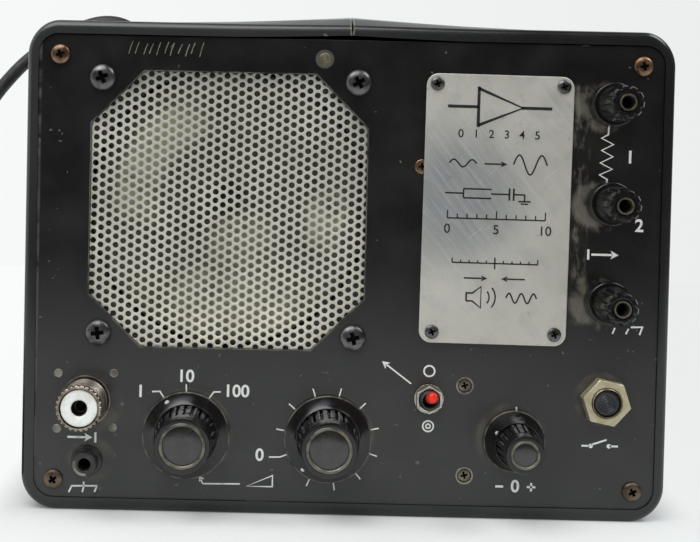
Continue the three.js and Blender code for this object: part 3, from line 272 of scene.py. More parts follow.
def hexagon_nut(flats, bore, low, height, turn, crisp=0.0):
    """A hexagon nut with its corners turned down at the top, less so when crisp."""
    reach, top = flats / math.sqrt(3), low + height
    chamfer = (reach - flats / 2) * 0.55 * (1 - 0.6 * crisp)
    angles = [TURN * i / 72 for i in range(72)]

    def outside(shrink, out, limit=math.inf):
        radii = [min((flats / 2 - shrink) / math.cos(a % (TURN / 6) - TURN / 12), limit) for a in angles]
        return [polar(radius, a + turn, out) for radius, a in zip(radii, angles)]

    def hole(share, out):
        return [polar(bore * share, a + turn, out) for a in angles]

    return lofted([
        hole(1, low), outside(0.1, low), outside(0, low + 0.1), outside(0, top - chamfer),
        outside(0.02, top - chamfer * 0.55, reach * (0.975 + 0.02 * crisp)),
        outside(0.06, top - 0.1, reach * (0.93 + 0.055 * crisp)),
        outside(0.16, top, reach * (0.9 + 0.07 * crisp)),
        hole(1.02, top), hole(1, top - 0.15), hole(1, low),
    ], capped=False)


def stroke(points, width, out=0.0, thick=0.06, closed=False):
    """A printed line along points on the panel."""
    path = [np.array(p, float) for p in points]
    count = len(path)
    left, right = [], []
    for i, p in enumerate(path):
        normals = []
        for k in (i - 1, i):
            if closed or 0 <= k < count - 1:
                d = path[(k + 1) % count] - path[k]
                normals.append(np.array([-d[1], d[0]]) / np.linalg.norm(d))
        n = sum(normals) / len(normals)
        n = n / max(float(n @ n), 0.35)
        left.append(p + n * width / 2)
        right.append(p - n * width / 2)
    verts = [(*q, out + lift) for side in (left, right) for lift in (0, thick) for q in side]
    a, b, c, d = 0, count, 2 * count, 3 * count
    faces = []
    for i in range(count if closed else count - 1):
        j = (i + 1) % count
        faces += [(b + i, d + i, d + j, b + j), (a + i, b + i, b + j, a + j), (c + j, d + j, d + i, c + i)]
    if not closed:
        e = count - 1
        faces += [(a, c, d, b), (a + e, b + e, d + e, c + e)]
    return verts, faces


def arrow_head(tip, angle, length, width, out=0.0):
    corners = [(0, 0, 0), (-length, width / 2, 0), (-length * 0.75, 0, 0), (-length, -width / 2, 0)]
    return moved(rolled((corners, [(0, 1, 2), (0, 2, 3)]), angle), *tip, out + 0.06)


def from_curve(curve, *place):
    """The filled mesh of a curve or text as a part."""
    made = placed("drawn", curve)
    part = moved(evaluated(made), *place)
    bpy.data.objects.remove(made)
    bpy.data.curves.remove(curve)
    return part


def plate(outlines, low, high, bevel):
    """A flat sheet with holes, between two heights, with softened edges."""
    curve = new_curve("outline", "CURVE", dimensions="2D", fill_mode="BOTH", extrude=(high - low) / 2 - bevel,
                      bevel_depth=bevel, bevel_resolution=1, offset=-bevel)
    for outline in outlines:
        spline = curve.splines.new("POLY")
        spline.points.add(len(outline) - 1)
        for point, (x, y) in zip(spline.points, outline):
            point.co = (x, y, 0, 1)
        spline.use_cyclic_u = True
    return from_curve(curve, 0, 0, (high + low) / 2)


def numeral(text, across, up, height, out=0.0, bold=0.12):
    """Plain digits or signs, centred on a point."""
    curve = new_curve("numeral", "FONT", body=text, size=height / 0.69, align_x="CENTER", align_y="CENTER",
                      extrude=0.03, offset=bold)
    return from_curve(curve, across, up, out + 0.03)


def arc(across, up, radius, start, end, steps):
    angles = [start + (end - start) * i / steps for i in range(steps + 1)]
    return [(across + radius * math.cos(a), up + radius * math.sin(a)) for a in angles]


def circle(across, up, radius, sides=40):
    return arc(across, up, radius, 0, TURN * (1 - 1 / sides), sides - 1)


def rounded(width, height, radius, across=0, up=0, steps=8):
    x, y = width / 2 - radius, height / 2 - radius
    points = []
    for k, (sx, sy) in enumerate(((1, 1), (-1, 1), (-1, -1), (1, -1))):
        points += arc(across + sx * x, up + sy * y, radius, k * TURN / 4, (k + 1) * TURN / 4, steps)
    return points


def octagon(across, up, size, chamfer, ease=0.0):
    far, near = size / 2, size / 2 - chamfer
    corners = [(far, near), (near, far), (-near, far), (-far, near)]
    corners += [(-x, -y) for x, y in corners]
    if ease:
        corners = eased(corners, ease, closed=True)
    return [(across + x, up + y) for x, y in corners]


def carved(part, cutter):
    """The part less the cutter."""
    body, tool = [placed("carving", new_mesh("carving", *shape)) for shape in (part, cutter)]
    cut = body.modifiers.new("cut", "BOOLEAN")
    cut.operation, cut.solver, cut.object = "DIFFERENCE", "EXACT", tool
    result = evaluated(body)
    for made in (body, tool):
        bpy.data.objects.remove(made)
    return result


def cross_recess(width, span, depth, top, turn):
    """The tapered cross that a driver fits."""
    rings = []
    for share, out in ((0.7, top - depth), (1, top + 0.6)):
        w, s = width / 2 * share, span / 2 * share
        quarter = [(s, -w, out), (s, w, out), (w, w, out)], []
        rings.append([p for k in range(4) for p in rolled(quarter, k * TURN / 4 + turn)[0]])
    return lofted(rings)


def front(x, y, z):
    return x, -PANEL_FACE - z, MID_HEIGHT + y


def rear(x, y, z):
    return -x, PANEL_FACE + z, MID_HEIGHT + y


def plain(x, y, z):
    return x, y, z


def piece(name, parts, finish, slot, node=None, at=(0, 0), body="amplifier", place=front, sharp=32, dark=()):
    """One mesh of the parts. The dark parts are painted shade, such as in a recess or inside the case, and
    are black.
    """
    light = sum(len(part[1]) for part in parts)
    points, faces = moved(merged([*parts, *dark]), *at)
    mesh = new_mesh(name, np.column_stack(place(*np.array(points, float).T)) * MM, faces)
    mesh.shade_smooth()
    mesh.set_sharp_from_angle(angle=math.radians(sharp))
    mesh.materials.append(paints[finish])
    if dark:
        mesh.materials.append(paints["painted_shade_black"])
        for polygon in mesh.polygons[light:]:
            polygon.material_index = 1
    made = placed(name, mesh)
    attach(made, body)
    if node:
        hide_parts(node)
    return made


# Materials

paints = {}


class Nodes:
    """Short ways to add nodes to a tree."""

    def __init__(self, tree):
        self.tree = tree

    def node(self, kind, *inputs, **settings):
        made = self.tree.nodes.new("ShaderNode" + kind)
        for key, value in settings.items():
            setattr(made, key, value)
        for socket, value in zip(made.inputs, inputs):
            self.feed(socket, value)
        return made

    def feed(self, socket, value):
        if isinstance(value, bpy.types.NodeSocket):
            self.tree.links.new(value, socket)
        elif value is not None:
            socket.default_value = value

    def math(self, operation, *values):
        """One node for a value or a pair, and a chain of them for more."""
        first, *others = values
        for other in others or [None]:
            first = self.node("Math", first, other, operation=operation).outputs[0]
        return first

    def times(self, *values):
        return self.math("MULTIPLY", *values) if len(values) > 1 else values[0]

    def most(self, *values):
        return self.math("MAXIMUM", *values)

    def range(self, value, low, high, start=0.0, end=1.0, kind="SMOOTHSTEP"):
        return self.node("MapRange", value, low, high, start, end, interpolation_type=kind).outputs[0]

    def length(self, a, b):
        return self.math("SQRT", self.math("ADD", self.times(a, a), self.times(b, b)))

    def mixed(self, share, first, second):
        made = self.node("Mix", data_type="RGBA")
        for place, value in (("Factor", share), (6, first), (7, second)):
            self.feed(made.inputs[place], value)
        return made.outputs[2]

    def glossy(self):
        return self.node("LightPath").outputs["Is Glossy Ray"]

    def shown(self):
        """1 for rays from the camera, and for those that gloss or glass sends on."""
        path = self.node("LightPath").outputs
        return self.most(path["Is Camera Ray"], path["Is Transmission Ray"], path["Is Glossy Ray"])


class Paint(Nodes):
    """A Principled material whose colour is laid on in layers of procedural masks."""

    def __init__(self, name, colour, roughness, metallic=0.0, specular=0.5):
        self.material = paints[name] = bpy.data.materials.new(name)
        self.material.use_nodes = True
        super().__init__(self.material.node_tree)
        self.shader = self.tree.nodes["Principled BSDF"]
        self.colour = self.material.diffuse_color = (*colour, 1)
        self.roughness = roughness
        for socket, value in (("Metallic", metallic), ("Specular IOR Level", specular),
                              ("Roughness", roughness), ("Base Color", self.colour)):
            self.shader.inputs[socket].default_value = value
        self.place = self.node("TexCoord").outputs["Object"]
        self.x, self.y, self.z = self.node("SeparateXYZ", self.place).outputs

    def noise(self, scale, detail=4.0, stretch=(1, 1, 1), shift=0.0, rough=0.55):
        at = self.node("Mapping", self.place, (shift,) * 3, None, stretch).outputs[0]
        return self.node("TexNoise", at, None, scale, detail, rough).outputs[0]

    def mottle(self, scale, low, high, **more):
        """Patches of noise, 0 below the low value and 1 above the high one."""
        return self.range(self.noise(scale, **more), low, high)

    def across(self, start, end):
        return self.range(self.x, start * MM, end * MM)

    def up(self, start, end):
        return self.range(self.z, (start + MID_HEIGHT) * MM, (end + MID_HEIGHT) * MM)

    def spot(self, centre, across, up, inner, outer):
        """1 inside a round patch near a point of the panel, fading to 0."""
        dx = self.math("SUBTRACT", self.x, (centre[0] + across) * MM)
        dz = self.math("SUBTRACT", self.z, (centre[1] + up + MID_HEIGHT) * MM)
        return self.range(self.length(dx, dz), inner * MM, outer * MM, 1.0, 0.0)

    def layer(self, colour, *masks):
        """Lays a colour over the one below, by the product of the masks."""
        self.colour = self.mixed(self.times(*masks), self.colour, (*colour, 1))
        self.feed(self.shader.inputs["Base Color"], self.colour)

    def rougher(self, mask, amount):
        self.feed(self.shader.inputs["Roughness"], self.math("ADD", self.roughness, self.times(mask, amount)))

    def bump(self, height, distance):
        made = self.node("Bump")
        made.inputs["Distance"].default_value = distance * MM
        self.feed(made.inputs["Height"], height)
        self.feed(self.shader.inputs["Normal"], made.outputs[0])


def simple_paint(name, colour, second, roughness, metallic=0.0, specular=0.5, scale=260, spread=0.12,
                 grain=0.02):
    """A finish with a slow change of tone, a change of gloss and a fine grain."""
    paint = Paint(name, colour, roughness, metallic, specular)
    paint.layer(second, paint.mottle(scale, 0.4, 0.68))
    paint.rougher(paint.mottle(scale * 2.3, 0.35, 0.7, shift=3.0), spread)
    paint.bump(paint.noise(2600, detail=2.0, shift=1.0), grain)


def sleeve_paint():
    paint = Paint("sleeve_plastic", (0.0085, 0.0092, 0.0100), 0.15, specular=0.55)
    paint.layer((0.015, 0.016, 0.017), paint.mottle(30, 0.4, 0.75, shift=2.0), 0.5)
    # Painted light: the sleeve is lighter towards the upper left, where the light falls.
    paint.layer((0.027, 0.0275, 0.027), paint.across(75, -30), paint.up(-20, 50))
    paint.layer((0.08, 0.08, 0.075), paint.mottle(900, 0.62, 0.74, detail=2.0), 0.12)
    scuff = paint.mottle(26, 0.68, 0.74, stretch=(0.5, 2.4, 5.0), shift=7.0, rough=0.75)
    paint.layer((0.07, 0.07, 0.068), scuff, 0.25)
    paint.layer((0.2, 0.19, 0.18), paint.mottle(300, 0.775, 0.785, detail=1.0, shift=5.0), 0.5)
    seam = paint.range(paint.math("ABSOLUTE", paint.x), 0.4 * MM, 0.95 * MM, 1.0, 0.0)
    paint.layer((0.27, 0.25, 0.2), seam, paint.up(70, 75), paint.mottle(420, 0.3, 0.6, shift=3.0), 0.6)
    paint.rougher(paint.mottle(60, 0.35, 0.7), 0.08)
    paint.bump(paint.noise(1700, detail=3.0), 0.02)


def panel_paint():
    """Black paint, greyer low down as a painted reflection of the pale floor with some dust, with dirt round
    what stands on it and wear along its left edge.
    """
    paint = Paint("panel_paint", (0.0050, 0.0048, 0.0048), 0.27)
    # Painted reflection: greyer low down, where the pale floor would show in the paint, and less so to the
    # right.
    right = paint.math("SUBTRACT", 1.0, paint.times(paint.across(30, 85), 0.3))
    paint.layer((0.029, 0.030, 0.029), paint.up(10, -40), right, 0.9)
    edge = paint.mottle(60, 0.35, 0.6, stretch=(1, 1, 3), shift=14.0)
    paint.layer((0.10, 0.10, 0.095), paint.across(-101.0, -101.6), edge, 0.7)
    paint.layer((0.026, 0.026, 0.025), paint.mottle(38, 0.4, 0.75, shift=4.0), 0.25)
    grime = paint.mottle(150, 0.46, 0.64, detail=6.0, stretch=(1.6, 1.0, 0.7), shift=9.0, rough=0.7)
    column = paint.times(paint.across(72.0, 74.2), paint.across(79.2, 77.0), paint.up(-16.2, -14),
                         paint.up(64.2, 62))
    around = paint.most(column, *[paint.spot(place, -2.4, -0.8, 6.9, 9.4) for place in OUTPUTS])
    paint.layer((0.15, 0.135, 0.105), around, grime, 0.75)
    beside = paint.most(*[paint.spot(place, -4.6, -0.6, 5.9, 8.2) for place in OUTPUTS])
    patchy = paint.mottle(75, 0.38, 0.56, detail=5.0, shift=12.0, rough=0.65)
    paint.layer((0.17, 0.155, 0.125), beside, patchy, 0.65)
    rings = paint.most(
        paint.spot(INPUT, 2.2, -0.8, 8.4, 11.2), paint.spot(EARTH, 1.2, 1, 6.3, 8.8),
        paint.spot(OFFSET_KNOB, -1, 1, 10.4, 12.4), paint.spot(CUT_OUT, -1.1, 0.5, 8.2, 9.4),
        *[paint.spot(place, 0.2, 0.3, 14.5, 15.6) for place in (RANGE_KNOB, GAIN_KNOB)])
    paint.layer((0.10, 0.09, 0.07), rings, paint.mottle(110, 0.35, 0.65, detail=5.0, shift=3.0), 0.6)
    paint.layer((0.16, 0.16, 0.15), paint.mottle(430, 0.765, 0.785, detail=1.0, shift=6.0), 0.5)
    scratch = paint.mottle(40, 0.72, 0.76, stretch=(1.0, 1.0, 16.0), shift=8.0, rough=0.8)
    paint.layer((0.10, 0.10, 0.10), scratch, 0.2)
    paint.rougher(paint.mottle(70, 0.35, 0.7, shift=1.0), 0.12)
    paint.bump(paint.noise(2200, detail=2.0), 0.02)


def print_paints():
    ink = Paint("legend_ink", (0.72, 0.73, 0.70), 0.6, specular=0.3)
    ink.layer((0.25, 0.25, 0.24), ink.mottle(700, 0.6, 0.72, detail=3.0), 0.55)
    ink.bump(ink.noise(2400), 0.01)
    black = Paint("plate_print", (0.012, 0.012, 0.012), 0.5)
    black.layer((0.10, 0.10, 0.10), black.mottle(900, 0.62, 0.72))
    black.bump(black.noise(2000), 0.01)


def grille_paint():
    """Dull metal, with pale dust at its foot and up its left side."""
    paint = Paint("grille_metal", (0.44, 0.43, 0.375), 0.42, metallic=0.2)
    paint.layer((0.56, 0.55, 0.48), paint.mottle(30, 0.45, 0.7, shift=2.0))
    edge = paint.most(paint.times(paint.up(6, -22), 0.5), paint.times(paint.across(-79.5, -84.5), 0.55))
    paint.layer((0.92, 0.88, 0.72), edge, paint.range(paint.noise(160), 0.35, 0.65, 0.5, 1.0))
    paint.layer((0.26, 0.235, 0.185), paint.mottle(330, 0.66, 0.78, shift=5.0), 0.4)
    paint.rougher(paint.mottle(240, 0.35, 0.7), 0.15)
    paint.bump(paint.noise(1500), 0.02)


def cone_paint():
    """Paper with fine pale specks, and painted light: pale patches where light through the grille would fall.
    It is darker in the middle and paler low down.
    """
    paint = Paint("cone_paper", (0.17, 0.16, 0.125), 0.9, specular=0.2)
    paint.layer((0.11, 0.105, 0.085), paint.mottle(60, 0.4, 0.65))

    def spot(*sizes):
        return paint.spot(SPEAKER, *sizes)

    # Painted light: pale patches on the upper left of the slope and low down, where light through the grille
    # would fall.
    slope = paint.times(spot(0, 0, 36, 41), paint.math("SUBTRACT", 1.0, spot(0, 0, 22, 29)))
    upper = paint.times(slope, paint.most(spot(-26, 16, 14, 27), spot(34, -4, 6, 13)))
    lower = [spot(across, up, 6, 13) for across, up in ((-9, -31), (2, -31), (12.8, -33))]
    painted_light = paint.most(upper, paint.times(spot(4, -13, 7, 15), 0.6), *lower)
    paint.layer((0.80, 0.75, 0.58), painted_light, paint.mottle(95, 0.25, 0.55, shift=4.0))
    paint.layer((0.035, 0.034, 0.03), spot(-1, 2, 3, 9))
    paint.layer((0.34, 0.32, 0.26), paint.up(SPEAKER[1] - 8, SPEAKER[1] - 30), 0.55)
    paint.layer((0.36, 0.34, 0.27), paint.mottle(700, 0.5, 0.7, detail=3.0, shift=2.0), 0.25)
    paint.bump(paint.noise(900), 0.08)


def plate_paint():
    """Brushed metal, with its grain leaning to the right."""
    paint = Paint("plate_aluminium", (0.545, 0.53, 0.475), 0.34, metallic=0.4)
    paint.layer((0.62, 0.61, 0.555), paint.mottle(34, 0.38, 0.68, shift=3.0), 0.6)
    # Painted reflection: a cooler, darker patch left of the middle, where a dim room would show in the metal.
    paint.layer((0.275, 0.29, 0.295), paint.spot(PLATE, -14, 4, 8, 33), 0.9)
    paint.layer((0.37, 0.37, 0.35), paint.mottle(120, 0.45, 0.7, detail=6.0, shift=6.0), 0.4)
    lean = paint.node("VectorRotate", paint.place, rotation_type="Y_AXIS")
    lean.inputs["Angle"].default_value = math.radians(38)
    straight, paint.place = paint.place, lean.outputs[0]
    fine = paint.noise(44, detail=5.0, stretch=(22.0, 1.0, 1.0), shift=2.0, rough=0.85)
    deep = paint.mottle(30, 0.66, 0.72, detail=3.0, stretch=(1.0, 1.0, 40.0), shift=5.0, rough=0.8)
    paint.place = straight
    paint.layer((0.62, 0.62, 0.61), paint.range(fine, 0.45, 0.7), 0.3)
    paint.layer((0.74, 0.74, 0.73), deep, 0.5)
    paint.layer((0.20, 0.19, 0.17), paint.mottle(260, 0.66, 0.76, detail=5.0, shift=9.0), 0.4)
    paint.rougher(paint.range(fine, 0.3, 0.7), 0.15)
    paint.bump(fine, 0.01)


def knob_paint(name, dust_and_sheen):
    """Glossy black plastic, with dust and a painted sheen on what faces up."""
    paint = Paint(name, (0.0055, 0.0055, 0.0058), 0.15, specular=0.55)
    normal = paint.node("SeparateXYZ", paint.place.node.outputs["Normal"])
    # Dust and painted sheen: what faces up is lighter in patches.
    above = paint.range(normal.outputs[2], 0.9, 0.985)
    paint.layer((0.20, 0.20, 0.195), above, paint.mottle(380, 0.3, 0.6, detail=3.0, shift=8.0), dust_and_sheen)
    paint.layer((0.05, 0.048, 0.044), paint.mottle(300, 0.55, 0.75), 0.16)
    paint.layer((0.15, 0.14, 0.13), paint.mottle(1300, 0.76, 0.785, detail=1.0, shift=4.0), 0.35)
    paint.rougher(paint.mottle(130, 0.4, 0.7, shift=2.0), 0.12)
    paint.bump(paint.noise(700), 0.006)


# Each simple finish: its colours, roughness and metallic, and for some the specular, scale, spread and grain
FINISHES = {
    "cap_ring": ((0.20, 0.19, 0.155), (0.065, 0.062, 0.05), 0.32, 0.75),
    "cap_disc": ((0.019, 0.0195, 0.018), (0.030, 0.030, 0.028), 0.13, 0.0, 0.75),
    # painted shade: near black, for recesses and the inside of the case
    "painted_shade_black": ((0.002, 0.002, 0.002), (0.004, 0.004, 0.004), 0.9, 0.0, 0.0),
    "screw_brass": ((0.26, 0.165, 0.10), (0.11, 0.06, 0.034), 0.26, 0.85),
    "screw_steel": ((0.15, 0.15, 0.147), (0.07, 0.069, 0.067), 0.24, 0.85),
    "screw_rust": ((0.16, 0.12, 0.085), (0.07, 0.05, 0.033), 0.34, 0.75),
    "bush_brass": ((0.36, 0.32, 0.22), (0.20, 0.17, 0.11), 0.3, 0.8),
    "sunk_steel": ((0.22, 0.195, 0.155), (0.11, 0.095, 0.072), 0.34, 0.7),
    "sunk_rim": ((0.27, 0.26, 0.225), (0.13, 0.125, 0.105), 0.4, 0.5),
    "wear_and_highlight_paint": ((0.13, 0.122, 0.10), (0.012, 0.012, 0.012), 0.35, 0.2),
    "dull_brown_metal": ((0.27, 0.24, 0.21), (0.12, 0.10, 0.085), 0.3, 0.8),
    "bright_metal": ((0.36, 0.32, 0.26), (0.13, 0.10, 0.07), 0.2, 0.9),
    "socket_metal": ((0.24, 0.225, 0.17), (0.13, 0.12, 0.095), 0.3, 0.85),
    "socket_dark": ((0.012, 0.012, 0.012), (0.022, 0.02, 0.018), 0.6),
    "nut_grey": ((0.30, 0.285, 0.24), (0.19, 0.18, 0.145), 0.42, 0.8),
    "nut_edge": ((0.72, 0.71, 0.65), (0.48, 0.46, 0.39), 0.35, 0.5),
    "nickel": ((0.55, 0.54, 0.50), (0.36, 0.34, 0.28), 0.25, 0.95),
    "zinc_yellow": ((0.56, 0.52, 0.36), (0.44, 0.39, 0.25), 0.3, 0.6),
    "rivet_metal": ((0.27, 0.26, 0.215), (0.13, 0.122, 0.095), 0.45, 0.4),
    "rivet_ring": ((0.028, 0.028, 0.023), (0.065, 0.062, 0.05), 0.6),
    "rivet_fill": ((0.23, 0.20, 0.11), (0.07, 0.06, 0.03), 0.6),
    "white_insulator": ((0.84, 0.86, 0.84), (0.70, 0.69, 0.62), 0.42),
    "red_tip": ((0.80, 0.022, 0.006), (0.62, 0.016, 0.005), 0.24),
    "button_plastic": ((0.012, 0.013, 0.017), (0.03, 0.032, 0.038), 0.3),
    "pointer_white": ((0.66, 0.66, 0.60), (0.42, 0.41, 0.36), 0.5),
    "earth_grey": ((0.018, 0.018, 0.018), (0.04, 0.036, 0.03), 0.3),
    "anodised_black": ((0.018, 0.018, 0.020), (0.034, 0.034, 0.036), 0.36, 0.3),
    "iron_dark": ((0.05, 0.05, 0.055), (0.09, 0.085, 0.08), 0.45, 0.6),
    "zinc_steel": ((0.42, 0.42, 0.41), (0.30, 0.29, 0.26), 0.38, 0.8),
    "board_green": ((0.035, 0.085, 0.035), (0.06, 0.12, 0.05), 0.45),
    "winding_tape": ((0.34, 0.12, 0.04), (0.22, 0.07, 0.025), 0.4, 0.1),
    "tie_white": ((0.70, 0.71, 0.68), (0.56, 0.56, 0.52), 0.4),
    "plug_black": ((0.012, 0.012, 0.013), (0.026, 0.026, 0.026), 0.32),
    "rear_paint": ((0.012, 0.0125, 0.013), (0.024, 0.025, 0.025), 0.45),
    "cord_rubber": ((0.013, 0.013, 0.014), (0.024, 0.024, 0.024), 0.42, 0.0, 0.5, 120, 0.2, 0.04),
}


def make_materials():
    for name, finish in FINISHES.items():
        simple_paint(name, *finish)
    for paint in (sleeve_paint, panel_paint, print_paints, grille_paint, cone_paint, plate_paint):
        paint()
    knob_paint("knob_plastic", 0.75)
    knob_paint("terminal_plastic", 0.15)


# Mains lead

def coil_points():
    points = []
    for i in range(COIL_TURNS * COIL_STEPS + 1):
        turn = i / COIL_STEPS
        past = turn - COIL_TURNS / 2
        x, y = polar(COIL_INNER + COIL_PITCH * abs(past), -TURN * turn)
        z = COIL_UPPER + (COIL_LOWER - COIL_UPPER) * smooth(past, -0.25, 0.25)
        points.append((COIL_CENTRE[0] + x, COIL_CENTRE[1] + y, z))
    x, y, z = points[-1]
    for share in TAIL_SHARES:
        points.append((x, y - share * COIL_TAIL, z + (PLUG_AXIS - z) * smooth(share, *TAIL_RISE)))
    return points


def make_cord():
    x, y, z = CORD_START
    route = [CORD_START, (x, y + CORD_DIAMETER, z), *CORD_ROUTE, *coil_points()]
    curve = new_curve("mains_lead", "CURVE", dimensions="3D", bevel_depth=CORD_DIAMETER / 2 * MM,
                      bevel_resolution=5, resolution_u=5, use_fill_caps=True)
    spline = curve.splines.new("BEZIER")
    spline.bezier_points.add(len(route) - 1)
    for point, place in zip(spline.bezier_points, route):
        point.co = Vector(place) * MM
        point.handle_left_type = point.handle_right_type = "AUTO"
    curve.materials.append(paints["cord_rubber"])
    cord = placed("mains_lead", curve)
    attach(cord, "amplifier")
    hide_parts("mains_cord", "mains_cord_coil")
    return cord


def make_gland():
    """The ribbed strain relief, seen from behind."""
    base = lathed([(0, -6), (6, -6), (6, GAP), (9, GAP), (9, 3.25), (0, 3.25)], 0.5, 56)
    ribs = 9
    profile = [(0, 2.5), (6.2, 2.5)]
    for i in range(ribs):
        for share, groove in ((0, 0), (0.5, 0), (0.6, 1), (0.92, 1)):
            along = (i + share) / ribs
            profile.append((6 - 1.7 * along - 0.75 * groove, 3.3 + 26.6 * along))
    profile += [(4.1, 30.0), (4.0, 30.9), (3.2, 31.0), (0, 31.0)]
    nut = hexagon_nut(15.4, 6.3, 3.2, 2.6, 0.2)
    return piece("cable_gland_ribbed", [base, lathed(profile, 0.25, 48, steps=2), nut], "cord_rubber",
                 "cord_rubber", "cable_gland", (-GLAND[0], GLAND[1] - MID_HEIGHT), place=rear)


def make_tie():
    """A cable tie round the coil."""
    room, half_width = 3.2, 2.4
    near, far = COIL_INNER - room, COIL_INNER + COIL_PITCH * (COIL_TURNS - 1) / 2 + room
    width, height = far - near, COIL_UPPER - COIL_LOWER + 2 * room
    x, y, z = COIL_CENTRE[0] - (near + far) / 2, COIL_CENTRE[1], (COIL_UPPER + COIL_LOWER) / 2
    outer = rounded(width + 1, height + 1, 3.5, steps=6)
    inner = rounded(width, height, 3, steps=6)
    band = [[(x + a, y + side * half_width, z + b) for a, b in outline]
            for outline, side in ((inner, -1), (outer, -1), (outer, 1), (inner, 1), (inner, -1))]
    return piece("coil_tie_band", [lofted(band, capped=False)], "tie_white", "white_plastic", "coil_tie",
                 place=plain)


# Case

def tent(share, power=1.2):
    return (1 - share) ** power if share < 1 else 0.0


def seam_lift(x, depth_share, rim_lift):
    half = CASE_WIDTH / 2
    crown = CROWN_LIFT * abs(math.sin(math.pi * min(depth_share, 1))) ** 0.4
    return rim_lift * tent(abs(x) / (half * RIM_SPAN)) + crown * tent(abs(x) / (half * CROWN_SPAN), 0.95)


def half_band(inset, depth_share, outer):
    """Half of the band's section: its outer side stands a little higher over the top."""
    corner = CASE_WIDTH / 2 - CORNER
    radius = CORNER - inset
    rise = TOP_RISE if outer else 0.0
    lift = RIM_LIFT[0] if outer else RIM_LIFT[1]
    start = SEAM_GAP / 2 if outer else 0.02
    points = []
    for k in range(49):
        x = start + (k / 48) ** 1.3 * (corner - start)
        points.append((x, CASE_HEIGHT - inset + rise + seam_lift(x, depth_share, lift)))
    for k, (x, z) in enumerate(arc(corner, CASE_HEIGHT - CORNER, radius, TURN / 4, 0, 12)):
        if k:
            points.append((x, z + rise * smooth(1 - k / 12, 0, 1)))
    foot = FOOT_CORNER if outer else CORNER
    return points + arc(CASE_WIDTH / 2 - foot, foot, foot - inset, 0, -TURN / 4, 12)


def wider_lip(x, z):
    """The lip's inner edge comes in further at the foot and up the left side."""
    if x < 0:
        x += LIP_MORE * (1 - smooth(z, 70, 150))
    return x, z + LIP_MORE * (1 - smooth(z, 0, 60)) + 0.3 * smooth(z, 100, 150)


def make_sleeve():
    """Sections from the front to the back, at (depth, inset, share of the depth)."""
    rim, tail, end, bend = 0.0125, 0.008, CASE_DEPTH / 2, 0.9
    stations = [(0, 3.0), (0.1, 2.2), (0.28, 1.5), (0.54, 0.92), (0.56, 0.9), (0.85, 0.48), (1.2, 0.2),
                (1.7, 0)]
    stations = [(depth - end, inset, 0) for depth, inset in stations]
    for k in range(1, 48):
        share = rim + (1 - rim - tail) * k / 48
        stations.append((share * CASE_DEPTH - end, 0, (share - rim) / (1 - rim)))
    for k in range(5):
        c, s = polar(1, TURN / 4 * (1 - k / 4))
        stations.append((end - bend * (1 - c), bend * (1 - s), 1))
    rings = []
    for y, inset, share in stations:
        loop = []
        lip = y < LIP_DEPTH - end
        for depth, inner in ((inset, False), (WALL + LIP if lip else WALL, True)):
            right = half_band(depth, share, not inner)
            side = [*right, (0, depth), *[(-x, z) for x, z in reversed(right)]]
            if inner:
                side = [wider_lip(x, z) if lip else (x, z) for x, z in reversed(side)]
            loop += [(x, y, z) for x, z in side]
        rings.append(loop)
    count = len(rings[0])
    half = count // 2
    points, faces = lofted(rings, capped=False)
    last = len(points) - count
    for i in range(half - 1):
        a, b, c, d = i, i + 1, count - 2 - i, count - 1 - i
        faces += [(a, d, c, b), (last + a, last + b, last + c, last + d)]
    # The band's inner faces are painted shade: near black, so the gap round the panel and the inside read
    # dark.
    sides = [], []
    for face in faces:
        sides[all(i % count >= half for i in face)].append(face[::-1])
    piece("case_band", [(points, sides[0])], "sleeve_plastic", "black_plastic", "case_sleeve", place=plain,
          sharp=40, dark=[(points, sides[1])])


def make_panels():
    x, y = SPEAKER[0], SPEAKER[1] - OPENING_DROP
    holes = [octagon(x, y, OPENING_SIZE, OPENING_CHAMFER, 0.7)]
    for radius, *places in ((4.9, RANGE_KNOB, GAIN_KNOB, OFFSET_KNOB), (3.45, TOGGLE), (5.25, CUT_OUT),
                            (8.2, INPUT), (4.2, EARTH), (3.5, *OUTPUTS), (2.75, *SUNK_SCREWS)):
        holes += [circle(*place, radius) for place in places]
    outline = rounded(PANEL_WIDTH, PANEL_HEIGHT, PANEL_CORNER)
    sheet = plate([outline, *holes], -PANEL_THICKNESS, 0, 0.18)
    piece("front_plate", [sheet], "panel_paint", "black_paint", "front_panel", sharp=50)
    # Wear and a painted highlight: a lighter line round the opening.
    edge = stroke(octagon(x, y, OPENING_SIZE + 0.35, OPENING_CHAMFER), 0.28, 0.0, 0.02, closed=True)
    piece("opening_edge_wear_and_highlight", [edge], "wear_and_highlight_paint", "black_paint")


